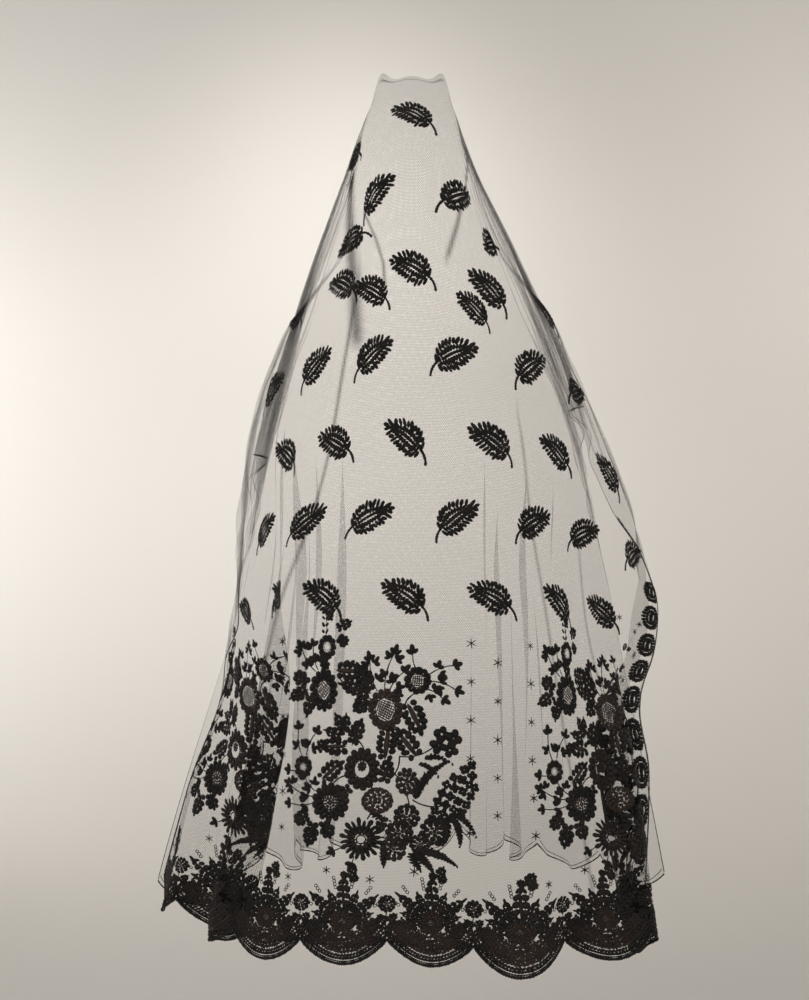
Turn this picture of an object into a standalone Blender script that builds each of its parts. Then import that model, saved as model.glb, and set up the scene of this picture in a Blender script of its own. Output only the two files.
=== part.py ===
"""Black net lace veil, worn over the head so that it falls before the face and down the back.

The veil is one oblong of machine net, ten scallops wide. A point of the cloth is named by u, its
distance across from the middle of the brow, and v, its distance down from the crown ridge:
v is positive on the front fall and negative on the back fall. Metres, +Z up, the face looks to -Y.
The origin is the top of the head, which carries the cloth.
"""
import bpy
import numpy as np

# Driving dimensions of the flat cloth
PITCH = 0.1205          # one scallop of the hem, and one step between sprigs
LEFT_EDGE = -5.29       # in pitches from the middle of the brow
RIGHT_EDGE = 4.71
FALL = 1.29             # crown ridge to the notches between scallops
SCALLOP_DEPTH = 0.035
SCALLOP_FULLNESS = 0.8  # power of the sine arch: under 1 is fuller than a sine
HEM_BAND = 0.13         # depth of the worked band above the notches
WALL = 0.0012           # thickness of the modelled cloth
SEAM = 0.0003           # gap between neighbouring pieces
NET_COLOUR = (0.030, 0.026, 0.024)
THREAD_COLOUR = (0.016, 0.013, 0.012)

# Crown: the net stands in a low ridge with a horn at each end
RIDGE_HEIGHT = 0.006
HORN_HEIGHT = 0.026
HORN_PLACE = 0.048
HORN_WIDTH = 0.016
RIDGE_SPREAD = 0.022

# Sections of the draped veil, from the back hem over the crown to the front hem.
# v: distance down the cloth.  z: height at the middle.  slope, round: how a row of the cloth falls
# away sideways, z - (sqrt(round^2 + (slope*u)^2) - round).  drop: extra fall at the left, right edge.
# left, right: the plan of the row, as (pitches from the middle, x outward, y) from the middle out.
SECTIONS = (
    dict(v=-1.29, z=-1.219, slope=0.05, round=0.10, drop=(0.000, 0.000),
         left=((0, 0.000, 0.290), (1.5, 0.175, 0.262), (2.7, 0.268, 0.170)),
         right=((0, 0.000, 0.290), (1.6, 0.185, 0.262), (2.7, 0.290, 0.170))),
    dict(v=-0.815, z=-0.745, slope=0.30, round=0.12, drop=(0.060, 0.040),
         left=((0, 0.000, 0.240), (1.5, 0.158, 0.228), (2.7, 0.236, 0.204), (3.5, 0.272, 0.196),
               (4.6, 0.302, 0.192)),
         right=((0, 0.000, 0.240), (1.6, 0.180, 0.228), (2.7, 0.286, 0.198), (3.1, 0.308, 0.195),
                (4.1, 0.338, 0.191))),
    dict(v=-0.475, z=-0.415, slope=0.50, round=0.18, drop=(0.114, 0.074),
         left=((0, 0.000, 0.205), (1.5, 0.145, 0.198), (3.1, 0.214, 0.198), (4.1, 0.242, 0.194),
               (5.29, 0.262, 0.180)),
         right=((0, 0.000, 0.205), (1.5, 0.155, 0.198), (2.9, 0.244, 0.197), (3.6, 0.266, 0.193),
                (4.71, 0.290, 0.178))),
    dict(v=-0.245, z=-0.185, slope=0.75, round=0.11, drop=(0.045, 0.020),
         left=((0, 0.000, 0.130), (0.8, 0.080, 0.112), (2.4, 0.155, 0.122), (5.3, 0.246, 0.160)),
         right=((0, 0.000, 0.130), (0.8, 0.080, 0.112), (2.2, 0.160, 0.120), (4.7, 0.268, 0.158))),
    dict(v=-0.13, z=-0.075, slope=0.84, round=0.08, drop=(0.039, 0.022),
         left=((0, 0.000, 0.090), (0.7, 0.066, 0.060), (1.5, 0.100, 0.066), (2.5, 0.143, 0.080),
               (5.29, 0.240, 0.138)),
         right=((0, 0.000, 0.090), (0.7, 0.066, 0.060), (1.5, 0.104, 0.066), (2.5, 0.156, 0.080),
                (4.71, 0.262, 0.136))),
    dict(v=0.0, z=-0.006, slope=0.90, round=0.03, drop=(0.013, 0.000),
         left=((0, 0.000, 0.000), (0.4, 0.046, 0.000), (1.2, 0.084, 0.010), (2.5, 0.138, 0.045),
               (5.29, 0.238, 0.116)),
         right=((0, 0.000, 0.000), (0.4, 0.046, 0.000), (1.2, 0.080, 0.010), (2.5, 0.151, 0.045),
                (4.71, 0.260, 0.114))),
    dict(v=0.13, z=-0.070, slope=0.83, round=0.082, drop=(0.052, 0.034),
         left=((0, 0.000, -0.085), (0.5, 0.053, -0.072), (0.9, 0.078, -0.042), (1.6, 0.101, 0.000),
               (2.5, 0.142, 0.022), (5.29, 0.240, 0.095)),
         right=((0, 0.000, -0.085), (0.5, 0.054, -0.072), (0.9, 0.076, -0.042), (1.6, 0.105, 0.000),
                (2.5, 0.155, 0.022), (4.71, 0.262, 0.093))),
    dict(v=0.245, z=-0.177, slope=0.75, round=0.109, drop=(0.052, 0.028),
         left=((0, 0.000, -0.118), (0.46, 0.052, -0.110), (0.9, 0.078, -0.072),
               (1.5, 0.093, -0.015), (2.5, 0.150, 0.012), (5.29, 0.246, 0.078)),
         right=((0, 0.000, -0.118), (0.54, 0.068, -0.105), (0.9, 0.088, -0.072),
                (1.5, 0.115, -0.020), (2.5, 0.180, 0.010), (4.71, 0.270, 0.076))),
    dict(v=0.36, z=-0.288, slope=0.60, round=0.147, drop=(0.109, 0.073),
         left=((0, 0.000, -0.120), (1.1, 0.102, -0.070), (2.1, 0.172, -0.010), (3.5, 0.218, 0.022),
               (5.29, 0.252, 0.069)),
         right=((0, 0.000, -0.120), (0.9, 0.108, -0.092), (1.9, 0.196, -0.020),
                (3.2, 0.238, 0.020), (4.71, 0.282, 0.066))),
    dict(v=0.475, z=-0.408, slope=0.45, round=0.183, drop=(0.150, 0.106),
         left=((0, 0.000, -0.145), (1.46, 0.137, -0.098), (2.46, 0.206, -0.030), (3.5, 0.240, 0.012),
               (5.29, 0.262, 0.068)),
         right=((0, 0.000, -0.145), (1.54, 0.169, -0.100), (2.54, 0.245, -0.025), (3.6, 0.284, 0.014),
                (4.71, 0.308, 0.056))),
    dict(v=0.59, z=-0.526, slope=0.36, round=0.153, drop=(0.127, 0.082),
         left=((0, 0.000, -0.165), (1.1, 0.110, -0.150), (2.1, 0.188, -0.080), (3.2, 0.248, -0.005),
               (4.3, 0.268, 0.030), (5.29, 0.276, 0.079)),
         right=((0, 0.000, -0.165), (0.9, 0.110, -0.155), (1.9, 0.206, -0.095), (2.9, 0.291, -0.030),
                (3.7, 0.328, 0.012), (4.71, 0.350, 0.056))),
    dict(v=0.70, z=-0.634, slope=0.30, round=0.127, drop=(0.099, 0.061),
         left=((0, 0.000, -0.190), (1.46, 0.155, -0.150), (2.46, 0.237, -0.072), (3.3, 0.274, 0.000),
               (4.3, 0.288, 0.042), (5.2, 0.294, 0.074)),
         right=((0, 0.000, -0.190), (1.54, 0.171, -0.150), (2.54, 0.249, -0.080), (3.54, 0.334, -0.005),
                (4.1, 0.364, 0.034), (4.71, 0.376, 0.066))),
    dict(v=0.815, z=-0.742, slope=0.25, round=0.105, drop=(0.070, 0.042),
         left=((0, 0.000, -0.200), (1.1, 0.127, -0.172), (1.8, 0.200, -0.122), (2.65, 0.276, -0.045),
               (3.5, 0.314, 0.024), (4.8, 0.334, 0.070)),
         right=((0, 0.000, -0.200), (0.9, 0.109, -0.195), (1.9, 0.206, -0.165), (2.9, 0.270, -0.100),
                (3.6, 0.350, -0.040), (4.4, 0.382, 0.040))),
    dict(v=1.05, z=-0.983, slope=0.12, round=0.10, drop=(0.020, 0.012),
         left=((0, 0.000, -0.212), (1.2, 0.142, -0.200), (2.1, 0.228, -0.160), (2.8, 0.305, -0.095),
               (3.5, 0.356, -0.025), (4.2, 0.372, 0.040)),
         right=((0, 0.000, -0.212), (0.9, 0.109, -0.222), (1.8, 0.206, -0.210), (2.75, 0.300, -0.165),
                (3.2, 0.362, -0.115), (4.0, 0.414, -0.020))),
    dict(v=1.29, z=-1.219, slope=0.05, round=0.10, drop=(-0.040, 0.000),
         left=((0, 0.000, -0.224), (1.29, 0.156, -0.216), (2.3, 0.256, -0.175), (2.9, 0.322, -0.120),
               (3.6, 0.402, -0.060), (4.2, 0.424, 0.010)),
         right=((0, 0.000, -0.226), (0.71, 0.084, -0.245), (1.3, 0.157, -0.258), (1.71, 0.209, -0.215),
                (2.7, 0.334, -0.190), (3.2, 0.380, -0.125), (3.8, 0.402, -0.055))),
)

# Pleats: the cloth turns back under itself and forward again.
# crest: pitches from the middle at start, elbow (v = 0.815) and hem.  start, full: v where the fold
# begins and where it is whole.  angle: turn in degrees.  turn: length of cloth in each of its two
# bends.  layer: flat length between them at the hem.
PLEATS = (
    dict(fall=1, side=-1, crest=(1.00, 1.80, 2.72), start=0.35, full=1.15, angle=175,
         turn=0.044, layer=0.016),
    dict(fall=1, side=1, crest=(3.10, 3.02, 2.90), start=0.68, full=1.08, angle=170,
         turn=0.044, layer=0.010),
)
ELBOW = 0.815

# Soft hanging folds, which deepen on the way down.
# middle: pitches from the middle of the cloth.  wave: width of one fold in pitches.  count: how many
# lie side by side.  angle: steepest turn in degrees.  start, full: v where they begin and are whole.
WAVES = (
    dict(fall=1, side=-1, middle=4.4, wave=1.0, count=1.5, angle=30, start=0.84, full=1.29),
    dict(fall=1, side=1, middle=4.25, wave=0.92, count=1.0, angle=-62, start=0.56, full=0.80),
    dict(fall=1, side=1, middle=1.45, wave=1.9, count=1.0, angle=9, start=0.80, full=1.29),
    dict(fall=-1, side=-1, middle=2.10, wave=1.20, count=2.6, angle=76, start=0.26, full=0.84),
    dict(fall=-1, side=1, middle=1.90, wave=1.10, count=2.6, angle=76, start=0.26, full=0.84),
)

# Folds down each side, where the cloth between the two falls is wider than the way round: they run
# from the crown out to the side edges and die away up and down the edge
SIDE_FOLD_DEPTH = 0.012
SIDE_FOLD_WAVE = 0.24
SIDE_FOLD_SPAN = (0.20, 0.38)

# Cut lines between the stretches of the cloth, as pitches from the middle at the crown, the neck,
# the elbow and the hem of the front fall, and at the back hem
CUTS = {
    "left edge": (-5.29, -5.29, -5.29, -5.29, -5.29),
    "left border": (-4.89, -4.89, -4.89, -4.89, -4.89),
    "left pleat back": (-1.80, -1.95, -2.55, -3.70, -2.96),
    "left pleat front": (-0.60, -0.75, -1.25, -2.35, -1.50),
    "right pleat front": (0.80, 1.90, 2.85, 2.68, 1.30),
    "right pleat back": (1.90, 2.95, 3.95, 3.85, 2.64),
    "right border": (4.31, 4.31, 4.31, 4.31, 4.31),
    "right edge": (4.71, 4.71, 4.71, 4.71, 4.71),
}
CUT_HEIGHTS = (0.0, 0.36, 0.815, 1.29)
BACK_CUT_SPREAD = 0.38  # distance down the back over which a cut line leaves its place at the crown

FACES_PER_STRETCH = (2, 6, 7, 14, 7, 5, 2)
FINE_STEP = 0.0025      # step along a row at which folds are summed
SLOPE_STEP = 0.002      # half the distance over which a row's direction is read
NORMAL_STEP = 0.0015    # half the distance over which the cloth's slope is read

# Levels of v where bands of the cloth meet, and the number of rows of faces in each band
LEVELS = dict(back_hem=-FALL + HEM_BAND, nape=-0.42, back_crown=-0.12, crown=0.0,
              brow=0.12, chest=0.42, front_hem=FALL - HEM_BAND)
ROWS_PER_BAND = (6, 5, 4, 4, 6, 10)


def through(knots, values, at):
    """Smooth curve through points: cubic between knots, with each knot's slope taken from the
    parabola through it and its two neighbours, and straight on past the end knots. values may have
    one more axis than knots."""
    knots = np.asarray(knots, float)
    values = np.asarray(values, float)
    if values.ndim == 1:
        return through(knots, values[:, None], at)[..., 0]
    span = np.diff(knots)[:, None]
    chord = np.diff(values, axis=0) / span
    slope = np.empty_like(values)
    slope[1:-1] = (chord[:-1] * span[1:] + chord[1:] * span[:-1]) / (span[:-1] + span[1:])
    slope[0] = chord[0]
    slope[-1] = chord[-1]
    asked = np.asarray(at, float)
    at = np.clip(asked, knots[0], knots[-1])
    cell = np.clip(np.searchsorted(knots, at, side="right") - 1, 0, len(knots) - 2)
    width = (knots[cell + 1] - knots[cell])[..., None]
    t = ((at - knots[cell])[..., None]) / width
    first = (1 + 2 * t) * (1 - t) ** 2 * values[cell] + t * t * (3 - 2 * t) * values[cell + 1]
    second = t * (1 - t) ** 2 * slope[cell] - t * t * (1 - t) * slope[cell + 1]
    past = np.minimum(asked - knots[0], 0)[..., None] * slope[0]
    past = past + np.maximum(asked - knots[-1], 0)[..., None] * slope[-1]
    return first + second * width + past


def ease(t):
    """Smooth step from 0 to 1."""
    t = np.clip(t, 0.0, 1.0)
    return t * t * (3 - 2 * t)


def section_values(name):
    """One column of the section table."""
    return [s[name] for s in SECTIONS]


def blend_weights(v):
    """How much of each section there is at v."""
    return through(section_values("v"), np.eye(len(SECTIONS)), v)


def plan(s, v):
    """Plan place (x, y) of the unfolded cloth at s across and v down: each section's row is a smooth
    curve through its points, and rows are blended down the cloth."""
    weights = blend_weights(v)
    place = np.zeros(s.shape + (2,))
    for k, section in enumerate(SECTIONS):
        left = [(-p * PITCH, -x, y) for p, x, y in reversed(section["left"][1:])]
        right = [(p * PITCH, x, y) for p, x, y in section["right"]]
        points = np.array(left + right)
        place += weights[..., k, None] * through(points[:, 0], points[:, 1:], s)
    edge = np.where(s < 0, s / (LEFT_EDGE * PITCH), s / (RIGHT_EDGE * PITCH))
    fold = np.interp(np.abs(v), SIDE_FOLD_SPAN, (1.0, 0.0)) * np.minimum(edge, 1.0) ** 2
    place[..., 0] += np.sign(s) * SIDE_FOLD_DEPTH * fold * np.cos(2 * np.pi * v / SIDE_FOLD_WAVE)
    return place


def height(s, v):
    """Height of the unfolded cloth: the middle profile, less the sideways fall of the row, plus the
    ridge and its two horns on the crown."""
    weights = blend_weights(v)
    z = weights @ np.array(section_values("z"))
    slope = weights @ np.array(section_values("slope"))
    bend = weights @ np.array(section_values("round"))
    drops = weights @ np.array(section_values("drop"))
    edge = np.where(s < 0, s / (LEFT_EDGE * PITCH), s / (RIGHT_EDGE * PITCH))
    drop = np.where(s < 0, drops[..., 0], drops[..., 1]) * np.minimum(edge, 1.2) ** 4
    horns = np.exp(-((np.abs(s) - HORN_PLACE) / HORN_WIDTH) ** 2) * HORN_HEIGHT
    ridge = RIDGE_HEIGHT * np.exp(-(s / (1.5 * HORN_PLACE)) ** 4)
    crown = (horns + ridge) * np.exp(-(v / RIDGE_SPREAD) ** 2)
    return z - (np.sqrt(bend ** 2 + (slope * s) ** 2) - bend) - drop + crown


def pleat_turn(pleat, across, v):
    """Turn of the cloth, in radians, made by one pleat: it rises to the full angle over the first
    bend, holds over the layer and comes back over the second bend."""
    down = np.abs(v)
    crest = PITCH * np.interp(down, (pleat["start"], ELBOW, FALL), pleat["crest"])
    grown = ease((down - pleat["start"]) / (pleat["full"] - pleat["start"])) ** 2
    layer = pleat["layer"] * grown * np.interp(down, (pleat["start"], FALL), (0.3, 1.0))
    past = across - (crest - pleat["turn"] / 2)
    first = ease(past / pleat["turn"])
    second = ease((past - pleat["turn"] - layer) / pleat["turn"])
    return np.radians(pleat["angle"]) * grown * (first - second)


def wave_turn(wave, across, v):
    """Turn made by a run of soft folds: a sine across the cloth inside a smooth window, deepening
    from its start to the hem."""
    grown = ease((np.abs(v) - wave["start"]) / (wave["full"] - wave["start"]))
    reach = wave["wave"] * wave["count"] * PITCH / 2
    offset = across - wave["middle"] * PITCH
    window = ease(2.5 * (1 - np.abs(offset) / reach))
    phase = 2 * np.pi * offset / (wave["wave"] * PITCH)
    return np.radians(wave["angle"]) * grown * window * np.sin(phase)


def folded(u, v):
    """Where cloth point u lies once pleats and folds are made: s along the unfolded row, and depth
    inward from it. Both are running sums, from the middle out, of the cosine and the sine of the
    turn, so folding keeps the length of the cloth."""
    reach = max(-LEFT_EDGE, RIGHT_EDGE) * PITCH * 1.02
    steps = int(reach / FINE_STEP) + 2
    fine = np.arange(steps) * FINE_STEP
    s = np.empty_like(u)
    depth = np.empty_like(u)
    for side in (-1, 1):
        mine = (u < 0) if side < 0 else (u >= 0)
        if not mine.any():
            continue
        down = v[mine][:, None]
        turn = np.zeros((int(mine.sum()), steps))
        for pleat in PLEATS:
            if pleat["side"] == side:
                turn += pleat_turn(pleat, fine, down) * (down * pleat["fall"] > 0)
        for wave in WAVES:
            if wave["side"] == side:
                turn += wave_turn(wave, fine, down) * (down * wave["fall"] > 0)
        cell = np.abs(u[mine]) / FINE_STEP
        whole = cell.astype(int)
        part = cell - whole
        pick = np.arange(len(whole))
        for rate, result, sign in ((np.cos(turn), s, side), (np.sin(turn), depth, 1)):
            total = np.zeros_like(rate)
            total[:, 1:] = np.cumsum((rate[:, 1:] + rate[:, :-1]) / 2, axis=1) * FINE_STEP
            value = total[pick, whole] * (1 - part) + total[pick, whole + 1] * part
            result[mine] = sign * value
    return s, depth


def drape(u, v):
    """Place in space of the cloth points (u, v)."""
    shape = u.shape
    u = u.ravel()
    v = v.ravel()
    s, depth = folded(u, v)
    tangent = plan(s + SLOPE_STEP, v) - plan(s - SLOPE_STEP, v)
    tangent /= np.linalg.norm(tangent, axis=-1, keepdims=True)
    inward = np.stack([-tangent[:, 1], tangent[:, 0]], axis=-1) * np.sign(v)[:, None]
    place = plan(s, v) + inward * depth[:, None]
    return np.column_stack([place, height(s, v)]).reshape(shape + (3,))


def normals(u, v):
    """Unit normal of the draped cloth, away from the wearer."""
    across = drape(u + NORMAL_STEP, v) - drape(u - NORMAL_STEP, v)
    down = drape(u, v + NORMAL_STEP) - drape(u, v - NORMAL_STEP)
    normal = np.cross(down, across)
    return normal / np.linalg.norm(normal, axis=-1, keepdims=True)


def cut_lines(v):
    """Cut lines across the cloth at each v, in metres, as one more axis."""
    lines = np.array(list(CUTS.values()))
    front = through(CUT_HEIGHTS, lines[:, :4].T, np.maximum(v, 0))
    back = lines[:, 0] + (lines[:, 4] - lines[:, 0]) * ease(-v / BACK_CUT_SPREAD)[..., None]
    return PITCH * np.where((v > 0)[..., None], front, back)


def columns(first, last, v):
    """Columns of faces between two cut lines at each v, evenly spread inside each stretch, and half
    a seam in from both."""
    lines = cut_lines(v)
    counts = FACES_PER_STRETCH[first:last]
    parts = []
    for k, count in enumerate(counts):
        t = np.arange(count + (k == len(counts) - 1)) / count
        a = lines[..., first + k, None]
        b = lines[..., first + k + 1, None]
        parts.append(a + (b - a) * t)
    across = np.concatenate(parts, axis=-1)
    across[:, 0] += SEAM / 2
    across[:, -1] -= SEAM / 2
    return across


def wall(name, u, v, material):
    """Closed wall of even thickness on a grid of cloth points. Each face of the rim is split from its
    lower-numbered outer corner, so that the rims of two neighbours run parallel."""
    middle = drape(u, v)
    out = normals(u, v) * WALL / 2
    rows, cols = u.shape
    verts = np.concatenate([(middle + out).reshape(-1, 3), (middle - out).reshape(-1, 3)])
    index = np.arange(rows * cols).reshape(rows, cols)
    a, b = index[:-1, :-1].ravel(), index[:-1, 1:].ravel()
    c, d = index[1:, 1:].ravel(), index[1:, :-1].ravel()
    inner = rows * cols
    faces = np.concatenate([np.column_stack([a, d, c, b]), np.column_stack([a, b, c, d]) + inner])
    rising = np.stack([np.concatenate([index[0, :-1], index[:-1, -1]]),
                       np.concatenate([index[0, 1:], index[1:, -1]])])
    falling = np.stack([np.concatenate([index[-1, 1:], index[1:, 0]]),
                        np.concatenate([index[-1, :-1], index[:-1, 0]])])
    rim = np.concatenate([
        np.column_stack([rising[0], rising[1], rising[1] + inner]),
        np.column_stack([rising[0], rising[1] + inner, rising[0] + inner]),
        np.column_stack([falling[0], falling[1], falling[0] + inner]),
        np.column_stack([falling[1], falling[1] + inner, falling[0] + inner]),
    ])
    mesh = bpy.data.meshes.new(name)
    mesh.from_pydata(verts.tolist(), [], faces.tolist() + rim.tolist())
    mesh.materials.append(material)
    mesh.update()
    mesh.shade_smooth()
    mesh.set_sharp_from_angle(angle=np.radians(60))
    piece = bpy.data.objects.new(name, mesh)
    bpy.context.scene.collection.objects.link(piece)
    return piece


def row_levels(top, foot):
    """Levels of the rows from one named level to another, half a seam in at both ends."""
    ends = list(LEVELS.values())
    first = list(LEVELS).index(top)
    last = list(LEVELS).index(foot)
    rows = [ends[first] + SEAM / 2]
    for k in range(first, last):
        rows.extend(np.linspace(ends[k], ends[k + 1], ROWS_PER_BAND[k] + 1)[1:])
    rows[-1] -= SEAM / 2
    return np.array(rows)


def panel(name, cuts, band, material):
    """Piece between two cut lines and two named levels."""
    names = list(CUTS)
    v = row_levels(*band)
    u = columns(names.index(cuts[0]), names.index(cuts[1]), v)
    wall(name, u, np.repeat(v[:, None], u.shape[1], axis=1), material)


def scalloped_edge(u):
    """Distance of the scalloped edge past the notches: one arch to each pitch."""
    across = (u / PITCH - LEFT_EDGE) % 1.0
    return SCALLOP_DEPTH * np.abs(np.sin(np.pi * across)) ** SCALLOP_FULLNESS


def hem_piece(name, scallops, fall, faces, material):
    """Piece of the hem band over a run of scallops, counted from the left edge. faces: how many lie
    across one scallop and how many down the band."""
    count = (scallops[1] - scallops[0]) * faces[0]
    rows = faces[1]
    u = PITCH * (LEFT_EDGE + np.linspace(scallops[0], scallops[1], count + 1))
    u[0] += SEAM / 2
    u[-1] -= SEAM / 2
    top = FALL - HEM_BAND + SEAM / 2
    foot = FALL + scalloped_edge(u)
    t = np.linspace(0, 1, rows + 1)[:, None]
    v = fall * (top + (foot - top) * t)
    u = np.repeat(u[None, :], rows + 1, axis=0)
    if fall < 0:
        u = u[::-1]
        v = v[::-1]
    wall(name, u, v, material)


def finish(name, colour, roughness):
    """Plain cotton material."""
    material = bpy.data.materials.new(name)
    material.use_nodes = True
    shader = material.node_tree.nodes["Principled BSDF"]
    shader.inputs["Base Color"].default_value = (*colour, 1.0)
    shader.inputs["Roughness"].default_value = roughness
    return material


def clear_scene():
    """Remove what a new file opens with."""
    for thing in list(bpy.data.objects):
        bpy.data.objects.remove(thing, do_unlink=True)


def build():
    """Make every piece of the veil."""
    clear_scene()
    inside = ("left border", "right border")
    net = {
        "crown_net": (inside, ("back_crown", "brow")),
        "face_net": (inside, ("brow", "chest")),
        "front_centre_net": (("left pleat front", "right pleat front"), ("chest", "front_hem")),
        "front_left_pleat_net": (("left pleat back", "left pleat front"), ("chest", "front_hem")),
        "front_right_pleat_net": (("right pleat front", "right pleat back"), ("chest", "front_hem")),
        "front_left_wing_net": (("left border", "left pleat back"), ("chest", "front_hem")),
        "front_right_wing_net": (("right pleat back", "right border"), ("chest", "front_hem")),
        "nape_net": (inside, ("nape", "back_crown")),
        "back_left_net": (("left border", "left pleat back"), ("back_hem", "nape")),
        "back_centre_net": (("left pleat back", "right pleat back"), ("back_hem", "nape")),
        "back_right_net": (("right pleat back", "right border"), ("back_hem", "nape")),
    }
    for name, (cuts, band) in net.items():
        panel(name, cuts, band, finish(name, NET_COLOUR, 0.85))

    left = ("left edge", "left border")
    right = ("right border", "right edge")
    border = {
        "border_front_left": (left, ("crown", "front_hem")),
        "border_front_right": (right, ("crown", "front_hem")),
        "border_back_left": (left, ("back_hem", "crown")),
        "border_back_right": (right, ("back_hem", "crown")),
    }
    for name, (cuts, band) in border.items():
        panel(name, cuts, band, finish(name, THREAD_COLOUR, 0.75))

    hem = {
        "hem_front_left": ((0, 3), 1, (11, 4)),
        "hem_front_centre": ((3, 8), 1, (8, 3)),
        "hem_front_right": ((8, 10), 1, (8, 3)),
        "hem_back_left": ((0, 3), -1, (6, 2)),
        "hem_back_centre": ((3, 7), -1, (6, 2)),
        "hem_back_right": ((7, 10), -1, (6, 2)),
    }
    for name, (scallops, fall, faces) in hem.items():
        hem_piece(name, scallops, fall, faces, finish(name, THREAD_COLOUR, 0.75))


build()
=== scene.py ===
"""Black net lace veil, worn over the head: fine net, raised embroidery and a plain pale studio.

A point of the flat cloth is named by u, its distance across from the middle of the brow, and v, its
distance down from the crown ridge, positive on the front fall and negative on the back fall.
"""

import bpy
import numpy as np
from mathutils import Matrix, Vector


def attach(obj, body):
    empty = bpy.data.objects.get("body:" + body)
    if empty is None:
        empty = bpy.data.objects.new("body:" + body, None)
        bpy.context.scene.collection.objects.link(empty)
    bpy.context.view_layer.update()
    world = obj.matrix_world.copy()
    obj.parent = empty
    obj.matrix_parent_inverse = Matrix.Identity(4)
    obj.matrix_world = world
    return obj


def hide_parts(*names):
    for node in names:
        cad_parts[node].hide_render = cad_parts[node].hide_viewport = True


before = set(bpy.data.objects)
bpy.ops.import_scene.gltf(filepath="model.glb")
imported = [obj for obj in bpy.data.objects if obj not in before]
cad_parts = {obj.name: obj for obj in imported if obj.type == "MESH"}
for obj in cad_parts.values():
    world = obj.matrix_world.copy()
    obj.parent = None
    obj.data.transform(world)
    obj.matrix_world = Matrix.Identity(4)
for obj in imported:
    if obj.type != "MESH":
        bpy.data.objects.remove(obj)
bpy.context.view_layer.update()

# Driving dimensions of the flat cloth
PITCH = 0.1205          # one scallop of the hem, and one step between sprigs
LEFT_EDGE = -5.29       # in pitches from the middle of the brow
RIGHT_EDGE = 4.71
LEFT = LEFT_EDGE * PITCH
RIGHT = RIGHT_EDGE * PITCH
FALL = 1.29             # crown ridge to the notches between scallops
SCALLOP_DEPTH = 0.035
SCALLOP_FULLNESS = 0.8  # power of the sine arch: under 1 is fuller than a sine
HEM_BAND = 0.13         # depth of the worked band above the notches

# Crown: the net stands in a low ridge with a horn at each end
RIDGE_HEIGHT = 0.006
HORN_HEIGHT = 0.026
HORN_PLACE = 0.048
HORN_WIDTH = 0.016
RIDGE_SPREAD = 0.022

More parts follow.
